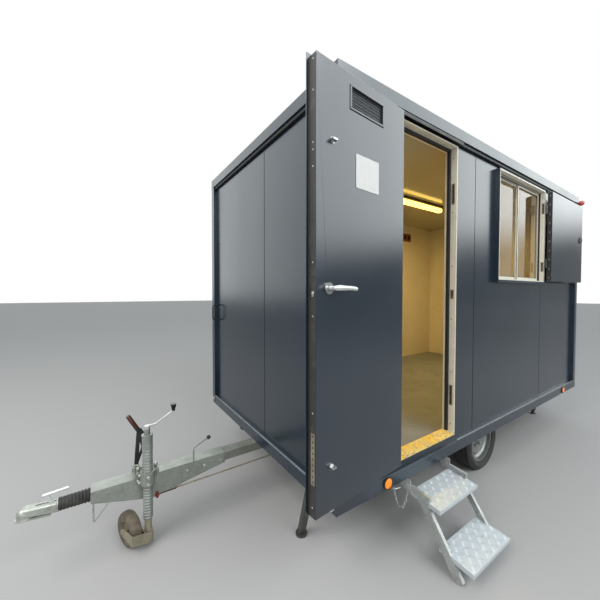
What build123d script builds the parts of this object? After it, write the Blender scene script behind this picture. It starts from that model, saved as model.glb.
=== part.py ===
from build123d import *
import math
import os

# Portable site cabin on one axle, in millimetres.
# The model is drawn from the front face of the body (X = 0), the door side (Y = 0) and the
# ground (Z = 0), with +X to the rear. Each piece is moved at the end so that the origin lies
# under the middle of the whole object, on the ground.

# Body
body_length = 3930
body_width = 2020
body_height = 2350
ground_clearance = 420
rail_height = 80
wall_recess = 32
wall_thickness = 38
lining_thickness = 5
floor_height = 128
floor_thickness = 25
ceiling_thickness = 8
roof_drop = 12
seam_width = 8
seam_depth = 4
front_seam = 868
side_seams = (1450, 2830)
joist_width = 50
front_joist = 280
rear_joist_inset = 190
joist_places = (front_joist, 760, 1240, 1540, 2150, 2630, 3110, body_length - rear_joist_inset)

# Surrounds of the door and the window
surround_proud = 8
surround_wall = 8
stop_depth = 40
stop_width = 12

# Door opening and leaf, heights over the rail's underside
door_left = 434
door_right = 1110
door_sill = 160
door_head = 2200
sill_height = 18
edge_gap = 6
leaf_skin = 3
leaf_flange = 16
leaf_thickness = 51
leaf_open_angle = 175
leaf_lift = 12
skin_gap = 5

# Hinges of the door and the shutter
hinge_radius = 8
hinge_pin_radius = 4
hinge_half = 45
hinge_offset = 4
hinge_proud = 12
strap_thickness = 4
strap_reach = 50
running_gap = 0.3
door_hinge_heights = (330, 1180, 2030)
shutter_hinge_heights = (1430, 1980)

# Door furniture, set out from the leaf's hinge edge
lever_from_hinge = 590
lever_height = 1190
lever_reach = 138
lever_stand = 52
lever_radius = 9.5
rose_radius = 26
rose_thickness = 8
spindle_radius = 6
lock_plate_bottom = 323
lock_plate_height = 230
lock_plate_width = 24
lock_plate_thickness = 2
lock_plate_margin = 4
thumb_turn_heights = (379, 1847)
thumb_turn_radius = 14
thumb_turn_stand = 22
thumb_turn_from_hinge = 569
vent_from_hinge = 321
vent_height = 2088
vent_length = 262
vent_depth = 116
vent_frame = 12
vent_recess = 8
vent_slats = 6
vent_slat_thickness = 3
vent_slat_angle = 35

# Window and shutter
window_left = 1784
window_right = 2790
window_sill = 1290
window_head = 2200
window_sill_drop = 28
window_head_rise = 16
sash_start = 46
sash_depth = 14
sash_frame = 34
sash_overlap = 40
glass_thickness = 5
shutter_thickness = 42
shutter_open_angle = 180
pull_radius = 30
pull_wire = 4
pull_height = 1790
pull_from_edge = 70

# Axle and road wheels
axle_x = 1850
arm_length = 150
arm_radius = 38
arm_thickness = 18
axle_beam = 70
tyre_radius = 255
tyre_width = 190
tyre_inset = 118
rim_radius = 183
rim_bead = 168
rim_well = 150
rim_width = 146
rim_sheet = 5
hub_radius = 46
hub_hole_circle = 112
hub_bolts = 5
spindle_end = 30
wheel_room = 13

# Drawbar and overrun coupling
drawbar_width = 90
drawbar_height = 60
drawbar_wall = 5
drawbar_drop = 10
housing_wall = 5
housing_front = -1065
housing_rear = -250
housing_nose_drop = 69
housing_rear_drop = 76
housing_deep_drop = 142
housing_deep_front = -800
housing_deep_rear = -600
housing_step_rear = -560
housing_step_drop = 128
bar_front = -540
coupling_axis = 378
shaft_radius = 22
shaft_rear = -900
bellows_front = -1213
bellows_radius = 40
bellows_taper = 4
bellows_root = 33
bellows_folds = 9
head_rear = -1214
ball_x = -1362
ball_radius = 25.5
cup_wall = 8
head_width = 62
head_height = 58
nose_height = 44
ball_rise = 6
cup_skirt = 18
head_flange = 4
head_flange_edge = 7
lever_pivot_x = -1238
lever_pivot_rise = 6
grip_rise = 74
grip_front = -1284
grip_rear = -1168
grip_tilt = 8
grip_radius = 8
lever_slot_front = -1316
lever_slot_rear = -1222
lever_slot_drop = 12
lever_pin_radius = 5
coupling_lever_thickness = 8

# Handbrake
brake_x = -820
brake_pivot_z = 372
brake_plate_thickness = 10
brake_bar_width = 27
brake_bar_lean = 20
brake_bar_length = 312
brake_grip_length = 116
brake_grip_radius = 14
brake_grip_lean = 32
brake_gap = 8
brake_bolt_radius = 8
link_thickness = 4
sector_radius = 66
sector_thickness = 6
rod_radius = 5
rod_front = -700

# Jockey wheel
jockey_x = -767
stem_radius = 26
upper_tube_radius = 31
upper_tube_bottom = 390
upper_tube_top = 695
label_height = 84
stem_bottom = 170
rib_pitch = 18
rib_depth = 2.5
inner_tube_radius = 21
tube_wall = 2.5
clamp_height = 80
clamp_width = 22
clamp_plate_half = 62
clamp_plate_rise = 52
clamp_plate_thickness = 6
crank_height = 745
crank_boss_radius = 17
crank_boss_height = 22
crank_flat = 48
crank_reach = 160
crank_rise = 60
crank_azimuth = 6
crank_bar_width = 16
crank_bar_thickness = 8
knob_low_radius = 9
knob_top_radius = 19
knob_length = 44
jockey_radius = 105
jockey_width = 66
jockey_rim_radius = 56
jockey_side = 70
jockey_trail = 90
jockey_heading = 112
jockey_axle_radius = 8
fork_sheet = 5
fork_boss_radius = 28
fork_boss_low = 20
fork_boss_top = 88
fork_left_low = 66
fork_left_top = 130
fork_end_reach = 24
swivel_top = 92
tyre_room = 7

# Steps, set out from their hinge pins
step_left = 592
step_right = 1030
step_pin_y = 0
step_pin_drop = 40
step_pin_radius = 6
step_droop = 5
arm_sheet = 5
arm_depth = 46
arm_over_pin = 11
arm_flange = 18
arm_front = -150
arm_back = 30
tread_depth = 195
tread_lip = 26
tread_sheet = 3
upper_tread_front = -218
upper_tread_top = -24
lower_tread_front = -427
lower_tread_top = -231
stringer_width = 50
stringer_flange = 22
stringer_top = (-135, -35)
stringer_foot = (-381, -325)
lug_thickness = 6
lug_half_width = 24

# Corner steadies
front_steady_x = 80
front_steady_side = 330
rear_steady_side = 263
steady_lean = 110
steady_folded_reach = 310
steady_leg_width = 48
steady_leg_depth = 30
steady_foot_radius = 38
steady_foot_height = 12
steady_plate = 8

# Lamps, tie loops and the light
front_side_lamp = 400
rear_side_lamp_inset = 454
side_lamp_radius = 38
side_lamp_depth = 14
side_lamp_rise = 40
front_lamp_radius = 24
front_lamp_depth = 14
front_lamp_inset = 38
marker_reach = 60
marker_radius = 17
marker_height = 2262
marker_arm = 11
loop_height = 155
loop_reach = 62
loop_radius = 7
loop_inset = 110
loop_middle = 968
batten_length = 1265
batten_width = 62
batten_height = 58

# Planes and levels that several pieces share
rail_bottom = ground_clearance
rail_top = rail_bottom + rail_height
wall_inner = wall_recess + wall_thickness
room_face = wall_inner + lining_thickness
roof_level = rail_bottom + body_height
wall_top = roof_level - rail_height
floor_top = rail_bottom + floor_height
floor_bottom = floor_top - floor_thickness
lining_top = wall_top - ceiling_thickness
middle_y = body_width / 2
sill_level = rail_bottom + door_sill
head_level = rail_bottom + door_head
window_low = rail_bottom + window_sill
window_high = rail_bottom + window_head
front_y = -surround_proud
skin_front = front_y - skin_gap - leaf_skin
hinge_y = front_y - hinge_proud
door_hinge_x = door_left - hinge_offset
shutter_hinge_x = window_right + hinge_offset
pin_z = rail_bottom - step_pin_drop
bar_top = rail_bottom - drawbar_drop
bar_low = bar_top - drawbar_height
housing_top = bar_top + housing_wall
near_bar_y = middle_y - drawbar_width / 2 - housing_wall
far_bar_y = middle_y + drawbar_width / 2 + housing_wall
jockey_y = near_bar_y - clamp_width / 2 - upper_tube_radius
wheel_middle = tyre_inset + tyre_width / 2

# The whole object's reach, which sets the origin
tow_reach = ball_x - ball_radius - cup_wall - head_flange_edge
droop = math.radians(step_droop)
step_reach = lower_tread_front * math.cos(droop) - lower_tread_top * math.sin(droop) + step_pin_y
origin_x = (tow_reach + body_length) / 2
origin_y = (step_reach + body_width + marker_reach) / 2


def block(x0, x1, y0, y1, z0, z1):
    """A plain slab between two corners."""
    middle = Pos((x0 + x1) / 2, (y0 + y1) / 2, (z0 + z1) / 2)
    return middle * Box(x1 - x0, y1 - y0, z1 - z0)


def rod(start, end, radius):
    """A round bar from one point to another."""
    path = Vector(*end) - Vector(*start)
    return extrude(Plane(origin=start, z_dir=path) * Circle(radius), path.length)


def plate_xz(points, y0, y1):
    """A plate whose outline is drawn in the side view, between two Y planes."""
    face = make_face(Plane.XZ * Polyline(*points, close=True))
    return Pos(0, y0, 0) * extrude(face, y1 - y0, dir=(0, 1, 0))


def plate_yz(points, x0, x1):
    """A plate whose outline is drawn in the end view, between two X planes."""
    face = make_face(Plane.YZ * Polyline(*points, close=True))
    return Pos(x0, 0, 0) * extrude(face, x1 - x0, dir=(1, 0, 0))


def turn_x(section, place):
    """Turns a section (along, radius) about an axis that runs along X."""
    face = make_face(Polyline(*section, close=True))
    return place * revolve(face, Axis.X)


def turn_z(section, place):
    """Turns a section (radius, height) about an upright axis."""
    face = make_face(Plane.XZ * Polyline(*section, close=True))
    return place * revolve(face, Axis.Z)


def upright(x, y):
    """An upright axis through a point of the plan."""
    return Axis((x, y, 0), (0, 0, 1))


def mirrored_side(solid):
    """The same piece on the far side of the cabin."""
    return mirror(solid, Plane.XZ.offset(-middle_y))


def seamed(solid, seams, along_x, outer, inward):
    """Cuts the upright panel seams into a wall's outer face."""
    for seam in seams:
        low, high = seam - seam_width / 2, seam + seam_width / 2
        edges = sorted((outer, outer + inward * seam_depth))
        if along_x:
            solid = solid - block(low, high, *edges, rail_top, wall_top)
        else:
            solid = solid - block(*edges, low, high, rail_top, wall_top)
    return solid


def side_rails():
    """Long frame members along the floor and the roof."""
    rails = []
    for z0, z1 in ((rail_bottom, rail_top), (wall_top, roof_level)):
        near = block(0, body_length, 0, room_face, z0, z1)
        rails += [near, mirrored_side(near)]
    return rails


def end_rails():
    """Short frame members between the long ones."""
    near, far = room_face, body_width - room_face
    rails = []
    for z0, z1 in ((rail_bottom, rail_top), (wall_top, roof_level)):
        rails.append(block(0, room_face, near, far, z0, z1))
        rails.append(block(body_length - room_face, body_length, near, far, z0, z1))
    return rails


def corner_posts():
    size = wall_inner
    posts = []
    for x in (0, body_length - size):
        near = block(x, x + size, 0, size, rail_top, wall_top)
        posts += [near, mirrored_side(near)]
    return posts


def floor_joists():
    near, far = room_face, body_width - room_face
    joists = [block(x - joist_width / 2, x + joist_width / 2, near, far, rail_bottom, floor_bottom)
              for x in joist_places]
    inner = wheel_middle + tyre_width / 2 + wheel_room * 2
    beam_x = axle_x - arm_length
    joists.append(block(beam_x - joist_width / 2, beam_x + joist_width / 2,
                        inner, body_width - inner, rail_bottom, floor_bottom))
    return joists


def floor_deck():
    edge = wall_inner
    return block(edge, body_length - edge, edge, body_width - edge, floor_bottom, floor_top)


def roof_panel():
    edge = room_face
    top = roof_level - roof_drop
    return block(edge, body_length - edge, edge, body_width - edge, wall_top, top)


def ceiling():
    edge = wall_inner
    return block(edge, body_length - edge, edge, body_width - edge, lining_top, wall_top)


def end_walls():
    near, far = wall_inner, body_width - wall_inner
    front = block(wall_recess, wall_inner, near, far, rail_top, wall_top)
    outer = body_length - wall_recess
    rear = block(outer - wall_thickness, outer, near, far, rail_top, wall_top)
    return [seamed(front, (front_seam,), False, wall_recess, 1),
            seamed(rear, (front_seam,), False, outer, -1)]


def far_wall():
    outer = body_width - wall_recess
    wall = block(wall_inner, body_length - wall_inner, outer - wall_thickness, outer,
                 rail_top, wall_top)
    return seamed(wall, side_seams, True, outer, -1)


def door_side_piece(x0, x1, z0, z1):
    wall = block(x0, x1, wall_recess, wall_inner, z0, z1)
    inside = [seam for seam in side_seams if x0 < seam - seam_width and seam + seam_width < x1]
    return seamed(wall, inside, True, wall_recess, 1)


def door_side_walls():
    """The slabs beside, under and over the door and the window."""
    door_x0, door_x1 = door_left - surround_wall, door_right + surround_wall
    window_x0, window_x1 = window_left - surround_wall, window_right + surround_wall
    window_z0 = window_low - window_sill_drop
    window_z1 = window_high + window_head_rise
    return {
        "door_side_piers": [
            door_side_piece(wall_inner, door_x0, rail_top, wall_top),
            door_side_piece(door_x1, window_x0, rail_top, wall_top),
            door_side_piece(window_x1, body_length - wall_inner, rail_top, wall_top)],
        "walls_under_openings": [
            door_side_piece(door_x0, door_x1, rail_top, sill_level - sill_height),
            door_side_piece(window_x0, window_x1, rail_top, window_z0)],
        "walls_over_openings": [
            door_side_piece(door_x0, door_x1, head_level + surround_wall, wall_top),
            door_side_piece(window_x0, window_x1, window_z1, wall_top)],
    }


def inner_lining():
    """Thin boards on all four walls, cut round the door and the window."""
    outer = block(wall_inner, body_length - wall_inner, wall_inner, body_width - wall_inner,
                  floor_top, lining_top)
    inner = block(room_face, body_length - room_face, room_face, body_width - room_face,
                  floor_top, lining_top)
    ring = outer - inner
    ring -= block(door_left - surround_wall, door_right + surround_wall, wall_inner, room_face,
                  floor_top, head_level + surround_wall)
    ring -= block(window_left - surround_wall, window_right + surround_wall, wall_inner, room_face,
                  window_low - window_sill_drop, window_high + window_head_rise)
    return ring


def door_frame():
    """The folded surround: a reveal for the leaf, then a narrower stop behind it."""
    whole = block(door_left - surround_wall, door_right + surround_wall, front_y, room_face,
                  sill_level - sill_height, head_level + surround_wall)
    reveal = block(door_left, door_right, front_y, stop_depth, sill_level, head_level)
    passage = block(door_left + stop_width, door_right - stop_width, front_y, room_face,
                    sill_level, head_level - stop_width)
    return whole - reveal - passage


def window_frame():
    """The projecting steel box round the window, with its deeper sill."""
    whole = block(window_left - surround_wall, window_right + surround_wall, front_y, room_face,
                  window_low - window_sill_drop, window_high + window_head_rise)
    return whole - block(window_left, window_right, front_y, room_face, window_low, window_high)


def sash_spans():
    """Left and right sash: start, end and the plane that each slides in."""
    centre = (window_left + window_right) / 2
    inner = sash_start + sash_depth
    return ((window_left, centre + sash_overlap / 2, inner),
            (centre - sash_overlap / 2, window_right, sash_start))


def window_sashes():
    sashes = []
    for start, end, plane in sash_spans():
        bar = block(start, end, plane, plane + sash_depth, window_low, window_high)
        sashes.append(bar - block(start + sash_frame, end - sash_frame, plane, plane + sash_depth,
                                  window_low + sash_frame, window_high - sash_frame))
    return sashes


def window_glass():
    panes = []
    for start, end, plane in sash_spans():
        middle = plane + sash_depth / 2
        panes.append(block(start + sash_frame, end - sash_frame,
                           middle - glass_thickness / 2, middle + glass_thickness / 2,
                           window_low + sash_frame, window_high - sash_frame))
    return panes


def fixed_hinge(x, z, side):
    """Lower knuckle, pin and the strap welded to the surround; side is -1 left, 1 right."""
    knuckle = Pos(x, hinge_y, z + hinge_half / 2) * Cylinder(hinge_radius, hinge_half)
    pin = Pos(x, hinge_y, z + hinge_half) * Cylinder(hinge_pin_radius, 2 * hinge_half)
    face = x - side * hinge_offset + side * surround_wall
    edges = sorted((face, face + side * strap_thickness))
    strap = block(*edges, hinge_y, hinge_y + strap_reach, z, z + hinge_half)
    strap -= block(*edges, wall_recess, wall_recess + strap_reach, z, z + hinge_half)
    return knuckle + pin + strap


def hinge_plates():
    """The fixed halves of all hinges."""
    halves = [fixed_hinge(door_hinge_x, rail_bottom + z, -1) for z in door_hinge_heights]
    halves += [fixed_hinge(shutter_hinge_x, rail_bottom + z, 1) for z in shutter_hinge_heights]
    return halves


def leaf_hinge(x, z, side):
    """Upper knuckle with its bore, and the strap that lies on the leaf's skin."""
    z0 = z + hinge_half + running_gap
    knuckle = Pos(x, hinge_y, z0 + hinge_half / 2) * Cylinder(hinge_radius, hinge_half)
    edges = sorted((x, x - side * strap_reach))
    strap = block(*edges, skin_front - strap_thickness, skin_front, z0, z0 + hinge_half)
    bore = Pos(x, hinge_y, z0 + hinge_half / 2) * Cylinder(hinge_pin_radius + running_gap,
                                                          hinge_half)
    return knuckle + strap - bore


def open_door(solid):
    return solid.rotate(upright(door_hinge_x, hinge_y), -leaf_open_angle)


def open_shutter(solid):
    return solid.rotate(upright(shutter_hinge_x, hinge_y), shutter_open_angle)


leaf_x0 = door_left + edge_gap
leaf_x1 = door_right - edge_gap
leaf_z0 = sill_level + leaf_lift
leaf_z1 = head_level - edge_gap
leaf_inner = skin_front + leaf_thickness


def at_leaf(distance):
    """X of a point on the closed leaf, from its hinge edge."""
    return leaf_x0 + distance


def vent_box(y0, y1):
    x = at_leaf(vent_from_hinge)
    z = rail_bottom + vent_height
    return block(x - vent_length / 2, x + vent_length / 2, y0, y1,
                 z - vent_depth / 2, z + vent_depth / 2)


def door_leaf():
    """Core, outer skin with its overlapping flange, spindle hole and vent recesses."""
    core = block(leaf_x0, leaf_x1, skin_front + leaf_skin, leaf_inner, leaf_z0, leaf_z1)
    skin = block(leaf_x0, leaf_x1 + leaf_flange, skin_front, skin_front + leaf_skin,
                 leaf_z0 - edge_gap, leaf_z1 + leaf_flange)
    leaf = core + skin
    spindle = rod((at_leaf(lever_from_hinge), skin_front, rail_bottom + lever_height),
                  (at_leaf(lever_from_hinge), leaf_inner, rail_bottom + lever_height),
                  spindle_radius + 2)
    leaf -= spindle
    leaf -= vent_box(leaf_inner - vent_recess, leaf_inner)
    leaf -= vent_box(skin_front, skin_front + vent_recess)
    return open_door(leaf)


def door_hinges():
    return [open_door(leaf_hinge(door_hinge_x, rail_bottom + z, -1)) for z in door_hinge_heights]


def louvre(outer_y, inward):
    """A framed bank of sloping slats, seated in its recess."""
    y0, y1 = sorted((outer_y, outer_y + inward * vent_recess))
    x = at_leaf(vent_from_hinge)
    z = rail_bottom + vent_height
    half_x, half_z = vent_length / 2 - vent_frame, vent_depth / 2 - vent_frame
    grille = vent_box(y0, y1) - block(x - half_x, x + half_x, y0, y1, z - half_z, z + half_z)
    pitch = 2 * half_z / vent_slats
    slat_depth = vent_recess - vent_slat_thickness
    for row in range(vent_slats):
        tilt = Rot(-inward * vent_slat_angle, 0, 0)
        middle = Pos(x, (y0 + y1) / 2, z - half_z + pitch * (row + 0.5))
        grille += middle * tilt * Box(2 * half_x, slat_depth, vent_slat_thickness)
    return grille


def door_vents():
    return [open_door(louvre(leaf_inner, -1)), open_door(louvre(skin_front, 1))]


def rose(y_face, outward):
    """A round plate with the hole that the lever's neck turns in."""
    x, z = at_leaf(lever_from_hinge), rail_bottom + lever_height
    disc = rod((x, y_face, z), (x, y_face + outward * rose_thickness, z), rose_radius)
    return disc - rod((x, y_face, z), (x, y_face + outward * rose_thickness, z), lever_radius + 1)


def thumb_turn(height):
    x, z = at_leaf(thumb_turn_from_hinge), rail_bottom + height
    base = rod((x, leaf_inner, z), (x, leaf_inner + strap_thickness, z), thumb_turn_radius)
    grip = block(x - thumb_turn_radius, x + thumb_turn_radius, leaf_inner + strap_thickness,
                 leaf_inner + thumb_turn_stand, z - strap_thickness, z + strap_thickness)
    return base + grip


def door_furniture():
    """Roses, the lock's edge plate and the thumb turns of the two bolts."""
    edge = leaf_inner - lock_plate_margin
    low = rail_bottom + lock_plate_bottom
    plate = block(leaf_x1, leaf_x1 + lock_plate_thickness, edge - lock_plate_width, edge,
                  low, low + lock_plate_height)
    pieces = [rose(leaf_inner, 1), rose(skin_front, -1), plate]
    pieces += [thumb_turn(height) for height in thumb_turn_heights]
    return [open_door(piece) for piece in pieces]


def lever_arm(y_face, outward):
    """Neck and bent grip of one lever handle, pointing to the hinges."""
    x, z = at_leaf(lever_from_hinge), rail_bottom + lever_height
    y_grip = y_face + outward * lever_stand
    path = FilletPolyline((x, y_face, z), (x, y_grip, z), (x - lever_reach, y_grip, z),
                          radius=lever_radius * 1.6)
    section = Plane(origin=(x, y_face, z), z_dir=(0, outward, 0)) * Circle(lever_radius)
    return sweep(section, path)


def door_lever():
    """Both lever handles on their one spindle."""
    x, z = at_leaf(lever_from_hinge), rail_bottom + lever_height
    inner = leaf_inner + running_gap
    outer = skin_front - running_gap
    handle = lever_arm(inner, 1) + lever_arm(outer, -1)
    return open_door(handle + rod((x, outer, z), (x, inner, z), spindle_radius))


def shutter_leaf():
    """Steel-skinned shutter with its overlapping flange."""
    x0, x1 = window_left + edge_gap, window_right - edge_gap
    z0, z1 = window_low + edge_gap, window_high - edge_gap
    inner = skin_front + shutter_thickness
    core = block(x0, x1, skin_front + leaf_skin, inner, z0, z1)
    skin = block(x0 - surround_wall, x1, skin_front, skin_front + leaf_skin,
                 z0 - surround_wall, z1 + surround_wall)
    return open_shutter(core + skin)


def shutter_hinges():
    return [open_shutter(leaf_hinge(shutter_hinge_x, rail_bottom + z, 1))
            for z in shutter_hinge_heights]


def shutter_pull():
    """Ring pull on the shutter's inner face."""
    x = window_left + edge_gap + pull_from_edge
    z = rail_bottom + pull_height
    y = skin_front + shutter_thickness
    plate = rod((x, y, z), (x, y + strap_thickness, z), pull_radius * 0.6)
    ring = Pos(x, y + strap_thickness + pull_wire, z) * Rot(90, 0, 0) * Torus(pull_radius, pull_wire)
    link = rod((x, y + strap_thickness, z + pull_radius),
               (x, y + strap_thickness + pull_wire, z + pull_radius), pull_wire * 1.5)
    bar = rod((x, y, z + pull_radius), (x, y + strap_thickness, z + pull_radius), pull_wire * 2)
    return open_shutter(plate + bar + link + ring)


def rim_section():
    """Half section of a wheel: barrel with a well, and the dished disc."""
    half = rim_width / 2
    s = rim_sheet
    barrel = [(rim_radius, -half), (rim_bead, -half + s), (rim_bead, -half * 0.55),
              (rim_well, -half * 0.35), (rim_well, half * 0.1), (rim_bead, half * 0.35),
              (rim_bead, half - s), (rim_radius, half), (rim_bead - s, half),
              (rim_bead - s, half * 0.35 + s), (rim_well - s, half * 0.1 + s),
              (rim_well - s, -half * 0.35 - s), (rim_bead - s, -half * 0.55 - s),
              (rim_bead - s, -half)]
    disc = [(rim_well - s / 2, -half * 0.3), (rim_well * 0.82, -half * 0.62),
            (hub_hole_circle * 0.72, -half * 0.42), (hub_radius * 0.6, -half * 0.42),
            (hub_radius * 0.6, -half * 0.42 + s), (hub_hole_circle * 0.72, -half * 0.42 + s),
            (rim_well * 0.82, -half * 0.62 + s), (rim_well - s / 2, -half * 0.3 + s)]
    return barrel, disc


def turn_wheel(section):
    """Turns a section (radius, across) about the wheel's own axle line."""
    face = make_face(Polyline(*section, close=True))
    return Pos(axle_x, wheel_middle, tyre_radius) * revolve(face, Axis.Y)


def road_rim():
    barrel, disc = rim_section()
    rim = turn_wheel(barrel) + turn_wheel(disc)
    face_y = -rim_width / 2 * 0.42
    for k in range(hub_bolts):
        a = 2 * math.pi * k / hub_bolts + math.pi / 2
        x, z = hub_hole_circle / 2 * math.cos(a), hub_hole_circle / 2 * math.sin(a)
        centre = Pos(axle_x + x, wheel_middle + face_y, tyre_radius + z)
        rim += centre * Rot(90, 0, 0) * Cylinder(10, 18)
    return rim


def road_tyre():
    """Solid section from the bead seats out: walls that bulge, round shoulders, flat tread."""
    half = tyre_width / 2
    flange = rim_width / 2
    outside = [(rim_bead, flange - rim_sheet - running_gap), (rim_radius, flange - running_gap),
               (rim_radius + 1, flange + 1), (rim_radius + 16, half * 0.94),
               (rim_radius + 34, half), (tyre_radius - 20, half * 0.93),
               (tyre_radius - 6, half * 0.82), (tyre_radius, half * 0.68)]
    other = [(radius, -across) for radius, across in reversed(outside)]
    return turn_wheel(outside + other)


def axle():
    """Torsion beam, brackets, trailing arms and stub ends, one welded piece."""
    beam_x = axle_x - arm_length
    beam_top = bar_low
    arm_y = wheel_middle + tyre_width / 2 + wheel_room
    beam = block(beam_x - axle_beam / 2, beam_x + axle_beam / 2, arm_y, body_width - arm_y,
                 beam_top - axle_beam, beam_top)
    hub_z = tyre_radius
    beam_z = beam_top - axle_beam / 2
    arm_start = (beam_x, arm_y, beam_z)
    arm_end = (axle_x, arm_y, hub_z)
    boss_a = rod(arm_start, (beam_x, arm_y + arm_thickness, beam_z), arm_radius)
    boss_b = rod(arm_end, (axle_x, arm_y + arm_thickness, hub_z), arm_radius)
    lean = math.atan2(hub_z - beam_z, arm_length)
    dx, dz = arm_radius * math.sin(lean), arm_radius * math.cos(lean)
    web = plate_xz([(beam_x - dx, beam_z + dz), (axle_x - dx, hub_z + dz),
                    (axle_x + dx, hub_z - dz), (beam_x + dx, beam_z - dz)],
                   arm_y, arm_y + arm_thickness)
    disc_back = wheel_middle - rim_width / 2 * 0.42 + rim_sheet + running_gap
    drum_start = wheel_middle + rim_width / 2 - rim_sheet * 3
    stub = rod((axle_x, disc_back, hub_z), (axle_x, arm_y, hub_z), spindle_end)
    drum = rod((axle_x, drum_start, hub_z), (axle_x, arm_y - 1, hub_z), rim_well - 3 * rim_sheet)
    bracket = block(beam_x - axle_beam / 2, beam_x + axle_beam / 2, arm_y + arm_thickness,
                    arm_y + arm_thickness + axle_beam, beam_top, rail_bottom)
    near = boss_a + boss_b + web + stub + drum + bracket
    return beam + near + mirrored_side(near)


def drawbar():
    """Square bar from inside the coupling's housing back to the axle, packed under the frame."""
    half = drawbar_width / 2
    rear = axle_x - arm_length + axle_beam / 2
    bar = block(bar_front, rear, middle_y - half, middle_y + half, bar_low, bar_top)
    bore = half - drawbar_wall
    bar -= block(bar_front, 0, middle_y - bore, middle_y + bore,
                 bar_low + drawbar_wall, bar_top - drawbar_wall)
    for x0, x1 in ((0, room_face), (front_joist - joist_width / 2, front_joist + joist_width / 2)):
        bar += block(x0, x1, middle_y - half, middle_y + half, bar_top, rail_bottom)
    return bar


def housing_outline(wall, floor_drop):
    """Side view of the coupling's housing, drawn in by a wall thickness."""
    def low(drop):
        return housing_top - drop - floor_drop
    return [(housing_front + wall, housing_top - wall), (housing_rear, housing_top - wall),
            (housing_rear, low(housing_rear_drop)), (housing_step_rear, low(housing_step_drop)),
            (housing_deep_rear, low(housing_deep_drop)), (housing_deep_front, low(housing_deep_drop)),
            (housing_front + wall, low(housing_nose_drop))]


def coupling_housing():
    """Folded channel, open below, bolted over the drawbar."""
    half = drawbar_width / 2 + housing_wall
    shell = plate_xz(housing_outline(0, 0), middle_y - half, middle_y + half)
    shell -= plate_xz(housing_outline(housing_wall, 1), middle_y - half + housing_wall,
                      middle_y + half - housing_wall)
    return shell - rod((housing_front, middle_y, coupling_axis),
                       (housing_front + housing_wall, middle_y, coupling_axis),
                       shaft_radius + running_gap)


def coupling_shaft():
    """Sliding draw tube between the head and the housing."""
    return rod((head_rear, middle_y, coupling_axis), (shaft_rear, middle_y, coupling_axis),
               shaft_radius)


def coupling_bellows():
    """Rubber gaiter: a row of folds turned about the draw tube."""
    start, end = bellows_front, housing_front
    pitch = (end - start) / bellows_folds
    section = [(start, shaft_radius + running_gap)]
    for fold in range(bellows_folds):
        x = start + fold * pitch
        crest = bellows_radius - bellows_taper * (1 - fold / (bellows_folds - 1))
        section += [(x, bellows_root), (x + pitch / 2, crest)]
    section += [(end, bellows_root), (end, shaft_radius + running_gap)]
    return turn_x(section, Pos(0, middle_y, coupling_axis))


def coupling_head():
    """Pressed head: a body that rises to the ball cup, and its rolled bottom edge."""
    half_w = head_width / 2
    cup_radius = ball_radius + cup_wall
    ball_z = coupling_axis + ball_rise
    low = ball_z - cup_skirt
    rear = Plane(origin=(head_rear, middle_y, coupling_axis - cup_wall / 2),
                 x_dir=(0, 1, 0), z_dir=(-1, 0, 0))
    front = Plane(origin=(ball_x, middle_y, ball_z + cup_wall),
                  x_dir=(0, 1, 0), z_dir=(-1, 0, 0))
    body = loft([rear * RectangleRounded(head_width * 0.86, head_height, 12),
                 front * RectangleRounded(head_width, nose_height, 12)])
    cup = Pos(ball_x, middle_y, (low + ball_z) / 2) * Cylinder(cup_radius, cup_skirt)
    dome = Pos(ball_x, middle_y, ball_z) * Sphere(cup_radius)
    dome -= block(ball_x - 2 * cup_radius, ball_x + 2 * cup_radius, middle_y - 2 * cup_radius,
                  middle_y + 2 * cup_radius, low - 2 * cup_radius, ball_z)
    edge = cup_radius + head_flange_edge
    flange = Pos(ball_x, middle_y, low - head_flange / 2) * Cylinder(edge, head_flange)
    flange_rear = head_rear - half_w
    rear_low = coupling_axis - head_height / 2
    flange += plate_xz([(ball_x, low), (flange_rear, rear_low + head_flange / 2),
                        (flange_rear, rear_low - head_flange / 2), (ball_x, low - head_flange)],
                       middle_y - edge, middle_y + edge)
    head = body + cup + dome + flange
    ball_middle = ball_z - cup_wall / 2
    socket = Pos(ball_x, middle_y, ball_middle) * Sphere(ball_radius)
    throat = rod((ball_x, middle_y, low - 2 * head_flange), (ball_x, middle_y, ball_middle),
                 ball_radius)
    slot_half = coupling_lever_thickness / 2 + 1
    slot = block(lever_slot_front, lever_slot_rear, middle_y - slot_half, middle_y + slot_half,
                 coupling_axis - lever_slot_drop, roof_level)
    pivot_z = coupling_axis + lever_pivot_rise
    pin = rod((lever_pivot_x, middle_y - half_w * 0.86, pivot_z),
              (lever_pivot_x, middle_y + half_w * 0.86, pivot_z), lever_pin_radius)
    return head - socket - throat - slot + pin


def coupling_handle():
    """Bent release lever with its long grip over the gaiter."""
    pivot_z = coupling_axis + lever_pivot_rise
    grip_z = coupling_axis + grip_rise
    half = coupling_lever_thickness / 2
    plate = plate_xz([(lever_pivot_x - 11, pivot_z + 10), (lever_pivot_x - 11, pivot_z - 9),
                      (lever_pivot_x + 7, pivot_z - 9), (lever_pivot_x + 7, pivot_z + 12),
                      (grip_front + 24, grip_z), (grip_front, grip_z)],
                     middle_y - half, middle_y + half)
    plate -= rod((lever_pivot_x, middle_y - half, pivot_z), (lever_pivot_x, middle_y + half, pivot_z),
                 lever_pin_radius + running_gap)
    grip = rod((grip_front, middle_y, grip_z), (grip_rear, middle_y, grip_z + grip_tilt), grip_radius)
    return plate + grip


def brake_plane():
    """Y of the handbrake lever's inner face, beyond the housing."""
    return far_bar_y + sector_thickness + brake_gap


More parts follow.
